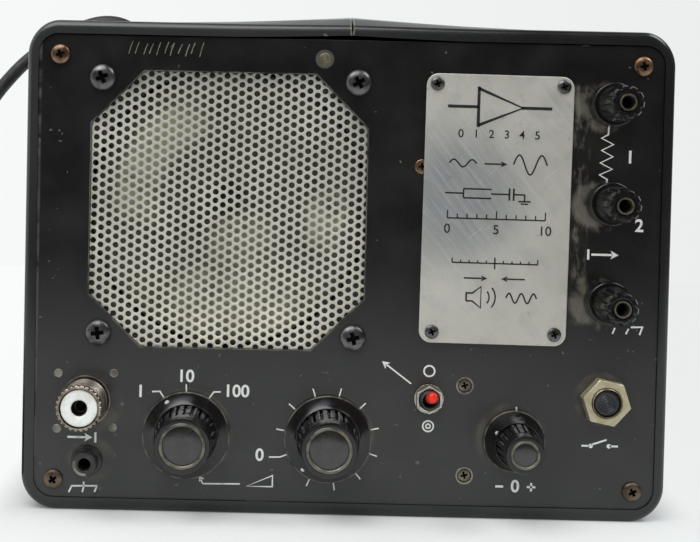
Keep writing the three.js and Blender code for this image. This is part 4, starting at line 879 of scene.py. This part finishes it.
def make_grille():
    """The perforated sheet: one cell round each hole, on the lattice that the photograph shows."""
    along, upward, start = np.array((2.4713, -1.4327)), np.array((0.0458, 2.8358)), np.array((0.643, 0.417))
    centre = np.array((SPEAKER[0], SPEAKER[1] - OPENING_DROP))
    top, bottom, hole = BEHIND, GRILLE_BACK, 1.0
    neighbours = [along + upward, upward, -along, -along - upward, -upward, along]
    corners = [(neighbours[k] + neighbours[(k + 1) % 6]) / 3 for k in range(6)]
    edge = []
    for k in range(6):
        edge += [corners[k], (corners[k] + corners[(k + 1) % 6]) / 2]
    rim = [q / np.linalg.norm(q) for q in edge]
    levels = [(top, edge, 1), (top, rim, hole + 0.09), (top - 0.1, rim, hole), (bottom, rim, hole),
              (bottom, edge, 1)]
    points, faces = [], []
    size = OPENING_SIZE / 2 + 2.6
    for i in range(-24, 25):
        for j in range(-40, 41):
            spot = start + i * along + j * upward
            if max(abs(spot)) > size or sum(abs(spot)) > 2 * size - OPENING_CHAMFER:
                continue
            base = len(points)
            for out, outline, radius in levels:
                points += [(*(spot + centre + q * radius), out) for q in outline]
            for a in range(base, base + 48, 12):
                for k in range(12):
                    m = (k + 1) % 12
                    faces.append((a + k, a + m, a + m + 12, a + k + 12))
    outer = octagon(*SPEAKER, OPENING_SIZE + 8, 6)
    inner = octagon(*centre, OPENING_SIZE + 1.2, OPENING_CHAMFER)
    border = plate([outer, inner], bottom + 0.05, top - 0.05, 0.05)
    piece("perforated_sheet", [(points, faces), border], "grille_metal", "grille_metal", "speaker_grille",
          sharp=60)


def make_cone():
    """The loudspeaker's cone, with its rolled edge and dust cap, from drops behind its crest."""
    crest = GRILLE_BACK - 2.3
    line = [
        (0, 9.5), (3, 9.62), (6, 10.3), (7.6, 11.4), (8.2, 12.6), (12.4, 14.4), (20, 10.9), (28, 7.2),
        (34, 4.5), (38.6, 2.4), (39.6, 1.9), (40.4, 1.0), (41.4, 0.35), (42.4, 0.15), (43.4, 0.5),
        (44.2, 1.3), (45.7, 1.9),
    ]
    line = [(radius, crest - drop) for radius, drop in line]
    paper = [(radius, out - 0.8) for radius, out in line] + line[::-1]
    former = ring(13.1, 12.2, crest - 31.8, crest - 14.6, 0.1)
    piece("paper_cone", [turned(paper, 96), former], "cone_paper", "cone_paper", "speaker_cone", SPEAKER,
          "cone")


# Fasteners

def screw(head, dome, length=9.0, shank=1.9, turn=0.0, span=0.62, foot=GAP):
    """A domed head with a cross recess, and the painted shade that darkens the recess."""
    profile = [(0, -length), (shank, -length), (shank, foot), (head - 0.15, foot), (head, foot + 0.2)]
    for k in range(1, 8):
        c, s = polar(1, TURN / 4 * k / 7)
        profile.append((head * c ** 0.8 if k < 7 else 0, foot + 0.2 + (dome - 0.2) * s))
    width, reach, top = head * 0.36, head * 2 * span, foot + dome
    depth = min(1.3, dome * 0.8)
    body = carved(turned(profile, 48), cross_recess(width, reach, depth, top, turn))
    # painted shade: a near black cross inside the recess
    recess_shade = cross_recess(width * 0.96, reach * 0.9, depth - 0.1, top, turn)
    lowest, highest = top - depth + 0.02, top - dome * 0.17
    return body, ([(x, y, lowest if z < top else highest) for x, y, z in recess_shade[0]], recess_shade[1])


def screws(name, places, finish, slot, node=None, place=front, **sizes):
    light, dark = [[moved(part, *spot) for spot in places] for part in screw(**sizes)]
    piece(name, light, finish, slot, node, place=place, dark=dark)


def make_screws():
    around = [(-1, 1), (1, 1), (-1, -1), (1, -1)]
    turns = (0.35, 0.2, 0.62, 0.5)
    for i, (sx, sy) in enumerate(around):
        place = (sx * PANEL_SCREW_HALF[0], sy * PANEL_SCREW_HALF[1])
        screws(f"corner_screw_{i + 1}", [place], "screw_brass" if sy > 0 else "screw_rust", "brass_screw",
               f"panel_screw_{i + 1}", head=3.2, dome=1.3, turn=turns[i], span=0.5)
        place = (SPEAKER[0] + sx * SPEAKER_SCREW_HALF, SPEAKER[1] + sy * SPEAKER_SCREW_HALF)
        screws(f"speaker_dome_screw_{i + 1}", [place], "screw_steel", "dark_steel", f"speaker_screw_{i + 1}",
               head=4.3, dome=2.1, turn=0.75 - turns[i], span=0.56)
    screws("plate_screws", PLATE_SCREWS, "screw_steel", "dark_steel",
           head=2.3, dome=0.95, length=1.0, shank=1.2, turn=0.4, foot=PLATE_TOP)
    screws("sunk_screws", SUNK_SCREWS, "sunk_steel", "brass_screw",
           head=2.3, dome=0.7, length=2.0, shank=1.4, turn=0.3, foot=-1.0)
    rims = [moved(ring(2.9, 2.35, -1.4, 0.14, 0.12), *place) for place in SUNK_SCREWS]
    piece("sunk_screw_rims", rims, "sunk_rim", "steel")
    screws("half_hidden_screw", [HALF_HIDDEN_SCREW], "screw_brass", "brass_screw",
           head=2.4, dome=0.5, length=1.0, shank=1.2, turn=0.1, foot=-0.25)
    rivet = lathed([(0, -0.5), (1.5, -0.5), (1.5, 0.1), (1.25, 0.34), (0.95, 0.2), (0.5, 0.24), (0, 0.3)],
                   0.1, 28)
    piece("socket_rivets", [moved(rivet, *place) for place in INPUT_RIVETS], "rivet_metal", "steel")
    collar = [(0, -0.5), (3.1, -0.5), (3.1, 0.05), (2.8, 0.3), (2.4, 0.3), (2.2, 0.1), (0, 0.08)]
    piece("filled_rivet", [lathed(collar, 0.2, 40)], "rivet_ring", "brass_screw", at=FILLED_RIVET)
    filling = [(0, -0.2), (2.3, -0.2), (2.25, 0.22), (1.4, 0.42), (0.8, 0.3), (0, 0.36)]
    piece("rivet_filling", [lathed(filling, 0.25, 32)], "rivet_fill", "brass_screw", at=FILLED_RIVET)


def make_nameplate():
    """The plate with plain drawings, in millimetres from its middle, and plain numbers."""
    top = PLATE_TOP

    def leaned(part):
        return moved(rolled(part, PLATE_TURN), *PLATE)

    def wave(x, y, length, height, turns):
        return [(x + length * k / 40, y + height * math.sin(TURN * turns * k / 40)) for k in range(41)]

    sheet = plate([rounded(*PLATE_SIZE, 4, steps=10)], GAP, top, 0.22)
    piece("plain_plate", [leaned(sheet)], "plate_aluminium", "plate_metal", "nameplate", sharp=50)
    lines = [
        (1.0, [(-17, 33.5), (-7, 33.5)], [(-7, 39.5), (7.5, 33.5), (-7, 27.5)], [(-7, 40.1), (-7, 26.9)],
         [(7.0, 33.5), (17, 33.5)]),
        (0.5, wave(-16, 15, 9, 1.2, 1.5), [(-4.5, 15), (1.5, 15)], wave(5, 15, 11, 3.2, 1.5)),
        (0.45, [(-16, -3), (16, -3)], [(-14, -17.5), (14, -17.5)], [(0, -15.6), (0, -19.4)],
         [(7.8, 2.2), (10.2, 2.2)]),
        (0.5, [(-10, -22.5), (-4, -22.5)], [(4, -22.5), (10, -22.5)], [(-17, 5.2), (-11, 5.2)],
         rounded(9, 3, 0.3, -6.5, 5.2, 2), [(-2, 5.2), (4, 5.2)], [(5.4, 5.2), (9, 5.2)], [(9, 5.2), (9, 3)],
         [(7, 3), (11, 3)], arc(-4.5, -28.7, 3, -0.7, 0.7, 8), arc(-4.5, -28.7, 5, -0.7, 0.7, 10),
         wave(4, -28.7, 10, 1.6, 2.5)),
        (0.6, [(4, 7.2), (4, 3.2)], [(5.4, 7.2), (5.4, 3.2)]),
        (0.55, [(-9, -30), (-9, -27.4), (-7, -27.4), (-4.2, -25.2), (-4.2, -32.2), (-7, -30), (-9, -30)]),
        (0.4, *[[(-16 + 3.2 * k, -3), (-16 + 3.2 * k, -1.5 if k % 5 else -0.4)] for k in range(11)],
         *[[(-14 + 2.8 * k, -17.5), (-14 + 2.8 * k, -16.6 if k % 5 else -15.94)] for k in range(11)]),
    ]
    marks = [stroke(line, width, top) for width, *group in lines for line in group]
    for x, y, angle in ((3, 15, 0), (-2.2, -22.5, 0), (2.2, -22.5, math.pi)):
        marks.append(arrow_head((x, y), angle, 2.2, 2.0, top))
    marks += [numeral(str(5 * k), -16 + 16 * k, -6.6, 3.0, top, 0.04) for k in range(3)]
    marks += [numeral(str(k), -12.5 + 5 * k, 24.6, 2.6, top, 0.03) for k in range(6)]
    piece("plate_marks", [leaned(mark) for mark in marks], "plate_print", "black_paint")


# Controls and sockets

def make_knob(name, spot, sizes, dot):
    """A skirted knob with a ribbed grip, a collar, a metal-rimmed cap and a white pointer dot."""
    skirt, skirt_edge, shoulder, step, grip, grip_height, height, cap, disc, flutes = sizes
    body = f"{name}_control"
    lift = 0.6
    top = lift + skirt_edge
    bow = (shoulder + 0.42 * (skirt - shoulder) - 0.2, top + 0.4 * (step - top) + 0.05)
    slope = [tuple((1 - t) ** 2 * a + 2 * t * (1 - t) * b + t * t * c
                   for a, b, c in zip((skirt - 0.45, top), bow, (shoulder, step)))
             for t in (0.2, 0.4, 0.6, 0.8, 0.94)]
    lower = turned([
        (4.9, lift + 4.0), (4.9, lift), (skirt - 0.25, lift), (skirt, lift + 0.2), (skirt, top - 0.35),
        (skirt - 0.12, top - 0.1), (skirt - 0.45, top), *slope, (shoulder - 0.1, step + 0.12),
        (shoulder - 0.45, step + 0.1), (shoulder - 0.8, step - 0.3), (0, step - 0.3),
    ], 128)
    deep, end = 0.1 * grip, grip_height - 1.7
    upper = ribbed([
        (shoulder - 0.5, step - 0.6, deep), (shoulder - 0.75, step + 1.0, deep), (grip + 0.35, end - 4, deep),
        (grip + 0.1, end - 0.6, deep), (grip + 0.07, end, 0.7 * deep), (grip + 0.05, end + 0.35, 0),
        (grip - 0.02, end + 2, 0), (cap + 1.5, height - 0.75, 0), (cap + 1.42, height - 0.4, 0),
        (cap + 1.3, height - 0.25, 0), (cap + 1.1, height - 0.2, 0), (cap + 0.1, height - 0.2, 0),
        (cap + 0.05, height - 0.3, 0), (cap + 0.05, height - 1.3, 0),
    ], flutes)
    piece(f"{name}_knob_body", [lower, upper], "knob_plastic", "knob_plastic", f"{name}_knob", spot, body)
    # Wear and a painted highlight: a lighter ring round the skirt's rim.
    edge_wear_and_highlight = lathed([
        (skirt - 0.5, top - 0.3), (skirt + 0.02, top - 0.6), (skirt + 0.03, top - 0.28),
        (skirt - 0.1, top - 0.03), (skirt - 0.42, top + 0.06),
    ], 0.1, 128, closed=True)
    piece(f"{name}_skirt_edge", [edge_wear_and_highlight], "wear_and_highlight_paint", "knob_plastic", None, spot, body)
    crest = (cap + disc) / 2
    rim = lathed([
        (cap, height - 1.1), (cap, height - 0.16), (crest + 0.25, height), (crest - 0.2, height - 0.04),
        (disc, height - 0.42), (disc, height - 1.1),
    ], 0.2, 96, closed=True)
    piece(f"{name}_cap_rim", [rim], "cap_ring", "cap_metal", f"{name}_knob_cap", spot, body)
    low, bulge = height - 0.35, 0.077 * disc
    dish = [(disc + 0.02, height - 1.1), (disc, low - bulge)]
    dish += [(disc * share, low - bulge * share ** 3) for share in (0.97, 0.9, 0.8, 0.7, 0.5, 0.25, 0)]
    piece(f"{name}_cap_disc", [turned(dish, 96)], "cap_disc", "cap_metal", None, spot, body)
    angle, reach, out, radius = dot
    x, y = reach * math.sin(math.radians(angle)), reach * math.cos(math.radians(angle))
    mark = turned([(radius, out - 0.5), (radius, out), (radius * 0.6, out + 0.1), (0, out + 0.14)], 20)
    piece(f"{name}_pointer_dot", [moved(mark, x, y)], "pointer_white", "white_plastic", None, spot, body)


def make_knobs():
    big = (14.4, 1.1, 10.7, 3.2, 9.1, 14.2, 17.8, 7.4, 6.25, 24)
    small = (10.2, 0.9, 7.6, 8, 6.1, 17.6, 21.4, 4.65, 3.65, 18)
    make_knob("range", RANGE_KNOB, big, (-30, 12.4, 2.25, 0.85))
    make_knob("gain", GAIN_KNOB, big, (-141, 12.7, 2.15, 0.7))
    make_knob("offset", OFFSET_KNOB, small, (-60, 7.75, 7.2, 0.62))


def make_toggle():
    case = plate([rounded(8, 13, 0.4, steps=2)], -11.75, BEHIND, 0.1)
    bush = turned([(2.4, -5), (3.05, -2.3), *thread(3.02, 3.15, -0.6, 0.55, 9, (0.18, 0.3, 0.5)),
                   (2.95, 4.45), (2.75, 4.6), (2.5, 4.6), (2.4, 4.4)], 40, closed=True)
    piece("toggle_body", [case, bush], "iron_dark", "steel", "toggle_switch", TOGGLE)
    nut = hexagon_nut(8.3, 3.45, GAP + 0.5, 1.9, TURN / 12, crisp=1.0)
    piece("toggle_hex_nut", [nut], "nut_grey", "steel", "toggle_nut", TOGGLE)
    piece("toggle_washer", [ring(4.85, 3.45, GAP, GAP + 0.5, 0.12)], "nickel", "steel", at=TOGGLE)
    # Painted highlight along the nut's top edges, with wear.
    edge_wear_and_highlight = stroke([polar(4.35, TURN * (3 - 2 * k) / 12) for k in range(6)], 0.42, GAP + 2.4, 0.05,
                  closed=True)
    piece("toggle_nut_edge", [edge_wear_and_highlight], "nut_edge", "steel", at=TOGGLE)
    stem = lathed([(0, -4), (0.8, -4), (0.8, -1.7), (1.7, -0.6), (1.7, 0.6), (1.0, 1.7), (1.05, 6.2),
                   (0, 6.2)], 0.2, 24)
    tip = [(0, 5.7), (1.6, 5.7), (1.8, 6.5), (1.82, 10.7), (1.6, 11.9), (0.95, 12.5), (0, 12.6)]
    c, s = polar(1, math.radians(-13))
    pivot = 1.0
    for name, part, finish, slot, node in (
            ("toggle_stem", stem, "nickel", "steel", None),
            ("toggle_red_tip", lathed(tip, 0.5, 36, steps=4), "red_tip", "red_plastic", "toggle_lever")):
        tilted = [(x, y * c - z * s, y * s + z * c + pivot) for x, y, z in part[0]], part[1]
        piece(name, [tilted], finish, slot, node, TOGGLE, "toggle")


def make_cut_out():
    case = plate([rounded(16, 32, 1, steps=3)], -32.25, BEHIND, 0.3)
    piece("cut_out_body", [case], "iron_dark", "dark_steel", "breaker_body", CUT_OUT)
    bush = [(4.6, -5), *thread(4.82, 4.95, -1.2, 0.5, 12, (0.16, 0.28, 0.45)),
            (4.8, 5.2), (4.62, 5.4), (4.56, 5.4), (4.55, 5.2)]
    piece("cut_out_bush", [turned(bush, 56, closed=True)], "bush_brass", "zinc", at=CUT_OUT)
    nut = hexagon_nut(14, 5.05, GAP, 4.5, math.radians(-11.5), crisp=0.6)
    piece("cut_out_hex_nut", [nut], "zinc_yellow", "zinc", "breaker_nut", CUT_OUT)
    face = [(0, -6), (4.25, -6), (4.25, 4.3), (3.9, 4.75), (3.3, 4.85)]
    face += [(2.9 - 0.4 * k, 4.8 - 0.3 * (k % 2)) for k in range(6)]
    face += [(0.5, 4.85), (0, 4.9)]
    piece("reset_button", [lathed(face, 0.12, 48)], "button_plastic", "knob_plastic", "breaker_button",
          CUT_OUT, "breaker_reset")


def make_input():
    """The coaxial socket: a threaded barrel with a toothed crown, round a white insulator."""
    flange = plate([rounded(24, 24, 1.6, steps=3), circle(0, 0, 6.3)], -3.85, BEHIND, 0.1)
    low, high, turns = 2.1, 12.2, 8
    pitch = (high - low) / turns
    barrel = [(6.3, -3.85), (7.4, -3.85), (7.4, 1.6), (7.05, 2.0),
              *thread(6.95, 7.3, low, pitch, turns, (0.35 * pitch, 0.5 * pitch, 0.85 * pitch)), (6.9, 12.3),
              (6.3, 12.3)]
    piece("coaxial_barrel", [flange, turned(barrel, closed=True)], "dull_brown_metal", "steel",
          "input_socket", INPUT)
    teeth, samples = 26, 8
    angles = [TURN * i / (teeth * samples) for i in range(teeth * samples)]
    crown = []
    for shrink, out in ((0.6, 12.1), (0.2, 12.3), (0, 12.8), (0, 13.2), (0.2, 13.7), (0.6, 14.0)):
        crown.append([polar(7.1 + 0.55 * abs(math.cos(teeth * a / 2)) ** 0.7 - shrink, a, out)
                      for a in angles])
    for radius, out in ((6.35, 14.0), (6.3, 12.2)):
        crown.append([polar(radius, a, out) for a in angles])
    piece("coaxial_crown", [lofted(crown, capped=False)], "bright_metal", "steel", at=INPUT)
    insulator = [(0, -11.85), (6, -11.85), (6, 13.3), (5.7, 13.6), (3.0, 13.6), (2.6, 13.2), (2.6, 4), (0, 4)]
    piece("coaxial_insulator", [lathed(insulator, 0.2)], "white_insulator", "white_plastic",
          "input_insulator", INPUT)
    contact = lathed([(2.55, 4.1), (2.55, 8.6), (1.9, 8.9), (1.7, 8.6), (1.7, 4.1)], 0.15, 32, closed=True)
    piece("coaxial_contact", [contact], "socket_metal", "brass_screw", at=INPUT)
    # Painted shade: a near black lining down the insulator's hole.
    bore = lathed([(2.6, 13.0), (2.6, 4.02), (0, 4.02), (0, 4.1), (2.52, 4.1), (2.52, 13.0)], 0.05, 40)
    piece("coaxial_bore_shade", [bore], "socket_dark", "brass_screw", at=INPUT)
    piece("coaxial_lip", [ring(8.3, 7.75, -0.3, 0.25, 0.12)], "dull_brown_metal", "steel", at=INPUT)


def make_earth():
    body = [(0, -18), (3.9, -18), (3.9, GAP), (5.1, GAP), (5.1, 1.2), (4.9, 1.4), (4.0, 1.5), (3.95, 5.7),
            (3.7, 6), (2.2, 6), (2.05, 5.8), (2.05, -12), (0, -12)]
    piece("earth_socket_body", [lathed(body, 0.2, 56)], "earth_grey", "knob_plastic", "earth_socket", EARTH)
    # Painted shade: a near black lining down the socket's hole.
    piece("earth_socket_bore_shade", [ring(2.04, 1.9, -11, 4.6, 0.05, 32)], "socket_dark", "steel", at=EARTH)
    # Wear and a painted highlight: a lighter crescent at the lower left of the socket's face.
    rub_and_highlight = stroke(arc(0, 0, 3.3, 2.8, 4.9, 16), 0.85, 5.96, 0.05)
    piece("earth_socket_wear_and_highlight", [rub_and_highlight], "sunk_rim", "knob_plastic", at=EARTH)


def make_terminals():
    base = lathed([(0, -14.25), (3.2, -14.25), (3.2, GAP), (7.1, GAP), (7.1, 6.45), (6.8, 6.75), (5.6, 6.75),
                   (5.4, 6.6), (0, 6.6)], 0.25, 72, steps=4)
    bore = [(2.2, 5.5), (2.75, 5.5), (2.75, 22.6), (2.6, 22.9), (2.3, 22.9)]
    for k in range(14):
        bore += [(2.1, 22.6 - 0.5 * k), (2.22, 22.35 - 0.5 * k)]
    tube = turned([*bore, (2.2, 15.4)], 40, closed=True)
    washer = ring(4.7, 3.05, 7.0, 7.8)
    lobes, samples = 10, 12
    angles = [TURN * i / (lobes * samples) for i in range(lobes * samples)]
    rings = []
    for radius, out in ((5.3, 8.05), (5.9, 8.6), (5.75, 14), (5.5, 20.2), (5.25, 21.5), (4.8, 22.1),
                        (4.1, 22.2), (3.3, 22.15), (3.05, 21.9), (3.05, 8.05), (5.3, 8.05)):
        deep = 0.75 * min(max((radius - 3.4) / 1.6, 0), 1) * (0.12 + 0.88 * smooth(out, 10, 18))
        rings.append([polar(radius - deep * max(0.0, math.cos(lobes * a)) ** 1.6, a + 0.2, out)
                      for a in angles])
    grip = lofted(rings, capped=False)
    for number, place in enumerate(OUTPUTS, 1):
        for name, part, finish, slot, node, body in (
                ("base", base, "terminal_plastic", "knob_plastic", f"terminal_post_{number}", "amplifier"),
                ("tube", tube, "socket_metal", "brass_screw", None, "amplifier"),
                ("disc", washer, "nickel", "steel", f"terminal_washer_{number}", f"washer_{number}"),
                ("grip", grip, "terminal_plastic", "knob_plastic", f"terminal_head_{number}",
                 f"head_{number}")):
            piece(f"terminal_{name}_{number}", [part], finish, slot, node, place, body)


# Printed marks: a width, then lines
LEGEND_LINES = [
    (0.47, [(-63.2, -40.3), (-60.6, -40.2), (-59.1, -42.5)], [(-52.0, -37.7), (-51.9, -40.7)],
     [(-40.6, -39.9), (-42.9, -40.0), (-44.5, -42.3)], [(-24.3, -61.1), (-20.7, -61.0), (-18.1, -60.0)],
     [(-33.7, -70.2), (-46.1, -70.4)], [(-45.9, -70.4), (-46.9, -68.6)], [(21.9, -35.8), (13.6, -29.6)],
     [(56.7, -42.7), (56.8, -45.5)]),
    (0.7, [(50.4, -69.1), (53.0, -69.1)], [(60.8, -69.1), (63.6, -69.1)], [(62.2, -67.7), (62.2, -70.5)],
     [(-90.8, -55.9), (-84.6, -55.9)], [(-81.6, -57.6), (-81.6, -54.2)], [(78.9, 9.7), (78.9, 6.3)],
     [(79.9, 8.0), (86.6, 8.0)]),
    (0.5, [(84.5, 49.9), (84.4, 47.4), (82.2, 46.2), (86.2, 44.2), (82.3, 42.2), (86.1, 40.2), (82.0, 38.1),
           (86.0, 36.1), (81.8, 34.2), (84.4, 32.7), (84.2, 31.3)]),
    (0.55, [(-89.3, -72.1), (-80.6, -71.9)], [(-85.2, -70.6), (-85.1, -72.0), (-85.6, -74.1)],
     [(-89.1, -72.1), (-90.1, -74.2)], [(-80.8, -71.9), (-81.6, -74.0)],
     [(93.5, -15.6), (97.3, -15.5), (96.4, -18.1)], [(92.8, -16.1), (91.9, -17.9)],
     [(88.3, -15.9), (87.5, -17.9)]),
    (0.6, [(78.4, -55.0), (81.0, -55.0)], [(81.6, -54.6), (86.6, -52.9)], [(87.6, -55.0), (90.4, -55.0)]),
]
LEGEND_LOOPS = [
    (0.47, [(-31.5, -70.9), (-23.0, -70.9), (-23.0, -67.2)]),
    (0.55, circle(27.8, -31.5, 1.75, 28)), (0.5, circle(27.8, -49.7, 1.75, 28)),
    (0.5, circle(27.8, -49.7, 0.7, 20)),
]
LEGEND_NUMBERS = [("1", -67.0, -40.4, 3.9), ("10", -52.2, -35.1, 3.9), ("100", -35.4, -39.7, 3.9),
                  ("0", -27.4, -60.6, 3.9), ("0", 56.9, -69.1, 3.9), ("1", 91.7, 40.0, 4.0),
                  ("2", 95.3, 17.6, 4.0)]
LEGEND_ARROWS = [((-47.4, -67.5), 122, 2.2, 2.0), ((12.2, -28.6), 143, 2.4, 2.6),
                 ((-82.6, -55.9), 0, 2.6, 2.8), ((88.8, 8.0), 0, 2.6, 2.8)]


def make_legends():
    ink = [stroke(line, width) for width, *lines in LEGEND_LINES for line in lines]
    ink += [stroke(loop, width, closed=True) for width, loop in LEGEND_LOOPS]
    ink += [numeral(*number) for number in LEGEND_NUMBERS]
    ink += [arrow_head(tip, math.radians(angle), *sizes) for tip, angle, *sizes in LEGEND_ARROWS]
    ink += [moved(turned([(0.75, 0), (0.75, 0.06), (0, 0.06)], 24), x, -55.0) for x in (81.4, 87.4)]
    for k in range(1, 11):
        s, c = polar(1, math.radians(202 - 31.5 * k))
        ink.append(stroke([(GAIN_KNOB[0] + r * s, GAIN_KNOB[1] + r * c) for r in (14.5, 17.2)], 0.42))
    piece("panel_legend", ink, "legend_ink", "white_plastic")
    scratch = [stroke([(-31.5, -75.75), (-22, -75.8), (-12, -75.9)], 0.16, thick=0.02)]
    for k in range(11):
        x = -73 + 2.3 * k + 0.3 * math.sin(4 * k)
        low, high = 70.4 + 0.5 * math.sin(3 * k), 74.2 + 0.4 * math.cos(5 * k)
        scratch.append(stroke([(x, low), (x + 0.55, (low + high) / 2), (x + 1.3, high)], 0.3, thick=0.02))
    piece("hairline_scratches", scratch, "rivet_metal", "black_paint")


def make_rear():
    """Fasteners of the rear, which the photograph doesn't show."""
    places = [(sx * PANEL_SCREW_HALF[0], sy * PANEL_SCREW_HALF[1]) for sx in (-1, 1) for sy in (-1, 1)]
    screws("rear_screws", places, "screw_steel", "dark_steel", place=rear, head=3.25, dome=1.4, length=4.0,
           turn=0.3)


SLOT_FINISH = {
    "black_plastic": "sleeve_plastic", "black_paint": "rear_paint", "knob_plastic": "plug_black",
    "cap_metal": "cap_ring", "grille_metal": "grille_metal", "plate_metal": "plate_aluminium",
    "steel": "zinc_steel", "dark_steel": "iron_dark", "brass_screw": "screw_brass", "zinc": "zinc_yellow",
    "white_plastic": "tie_white", "red_plastic": "red_tip", "cone_paper": "cone_paper",
    "board": "board_green", "copper_winding": "winding_tape", "cord_rubber": "cord_rubber",
}
NODE_FINISH = {"heat_sink": "anodised_black", "plug_base": "plug_black"}


def dress_nodes():
    """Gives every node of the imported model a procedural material, and softens its edges."""
    slots = {row["node"]: row["material_slot"] for row in frame["record"]["subparts"]}
    for name, node in frame["nodes"].items():
        for slot in node.material_slots:
            slot.material = paints[NODE_FINISH.get(name) or SLOT_FINISH[slots[name]]]
        if node.hide_render:
            continue
        weld = node.modifiers.new("weld", "WELD")
        weld.merge_threshold = 1e-6
        bevel = node.modifiers.new("soft_edges", "BEVEL")
        bevel.width = 0.3 * MM
        bevel.segments = 2
        bevel.limit_method = "ANGLE"
        bevel.angle_limit = math.radians(40)
        bevel.harden_normals = True


# Stage

PALE, PALER = (0.83, 0.85, 0.84, 1), (0.955, 0.97, 0.96, 1)
DIM, WARM, WINDOW = (0.055, 0.06, 0.063, 1), (0.085, 0.062, 0.052, 1), (1.6, 1.66, 1.8, 1)
SKY, SKY_STRENGTH = (0.95, 0.98, 1.0, 1), 0.62
FLOOR_RADIUS = 0.9
LAMP_TARGET = (0, 0, 0.08)
LAMPS = [("key", (-0.35, -0.55, 1.15), 1.1, 9.0, (1.0, 0.99, 0.97)),
         ("fill", (0.75, -0.2, 0.95), 0.6, 4.5, (0.96, 0.98, 1.0))]


def make_floor():
    """A white floor that runs into the pale surround away from the object's shadow."""
    paint = Paint("floor_white", (0.80, 0.815, 0.81), 0.9, specular=0.2)
    paint.layer((0.785, 0.80, 0.795), paint.mottle(22, 0.4, 0.7))
    paint.bump(paint.noise(260), 0.15)

    def beyond(axis, half):
        return paint.most(paint.math("SUBTRACT", paint.math("ABSOLUTE", axis), half), 0.0)

    aside = paint.times(beyond(paint.x, CASE_WIDTH / 2 * MM), 7.0)
    far = paint.range(paint.length(aside, beyond(paint.y, CASE_DEPTH / 2 * MM)), -0.03, 0.12)
    distant = paint.times(paint.range(paint.y, -0.42, -0.62), paint.glossy())
    # Painted light: the surround is paler to the left, where the light comes from.
    slope = paint.mixed(paint.range(paint.x, 0.22, -0.22), PALE, PALER)
    glow = paint.node("Emission", paint.mixed(distant, slope, DIM))
    mix = paint.node("MixShader", paint.times(far, paint.shown()), paint.shader.outputs[0], glow.outputs[0])
    paint.feed(paint.tree.nodes["Material Output"].inputs[0], mix.outputs[0])
    points = [polar(FLOOR_RADIUS, TURN * k / 96, 0) for k in range(96)]
    mesh = new_mesh("floor", points, [tuple(range(96))])
    mesh.materials.append(paint.material)
    placed("floor", mesh)


def make_world():
    """Soft light from all round, and a room that only gloss shows: dim walls and a window."""
    world = bpy.context.scene.world = bpy.data.worlds.new("sky")
    world.use_nodes = True
    sky = Nodes(world.node_tree)
    sky.tree.nodes.clear()
    axes = sky.node("SeparateXYZ", sky.node("TexCoord").outputs["Generated"]).outputs

    def step(axis, low, high):
        return sky.range(axes[axis], low, high, kind="LINEAR")

    glossy = sky.glossy()
    side = sky.times(step("X", 0.35, 0.75), step("Y", 0.6, 0.2))
    room = sky.times(sky.most(step("Y", -0.2, -0.6), step("Z", 0.86, 0.95), side), glossy)
    pane = sky.times(step("Z", 0.5, 0.6), step("Z", 0.9, 0.82), step("X", 0.1, -0.02), step("Y", -0.1, -0.25),
                     glossy)
    # Painted light: the walls are paler to the left, where the light comes from.
    walls = sky.mixed(step("X", 0.35, -0.35), PALE, PALER)
    dark = sky.mixed(step("X", -0.05, 0.25), DIM, WARM)
    shown = sky.node("Background", sky.mixed(pane, sky.mixed(room, walls, dark), WINDOW))
    soft = sky.node("Background", SKY, SKY_STRENGTH)
    mix = sky.node("MixShader", sky.shown(), soft.outputs[0], shown.outputs[0])
    sky.node("OutputWorld", mix.outputs[0])


def make_lamps():
    for name, place, size, power, colour in LAMPS:
        data = bpy.data.lights.new(name, "AREA")
        data.shape = "DISK"
        data.size, data.energy, data.color = size, power, colour
        lamp = placed(name, data)
        lamp.location = place
        lamp.rotation_euler = (Vector(LAMP_TARGET) - Vector(place)).to_track_quat("-Z", "Y").to_euler()


bpy.context.scene.view_settings.view_transform = "Standard"
make_camera()
make_materials()
cord, gland, tie = make_cord(), make_gland(), make_tie()
for make in (make_sleeve, make_panels, make_grille, make_cone, make_screws, make_nameplate, make_knobs,
             make_toggle, make_cut_out, make_input, make_earth, make_terminals, make_legends, make_rear,
             dress_nodes, make_floor, make_world, make_lamps):
    make()

bpy.context.view_layer.update()
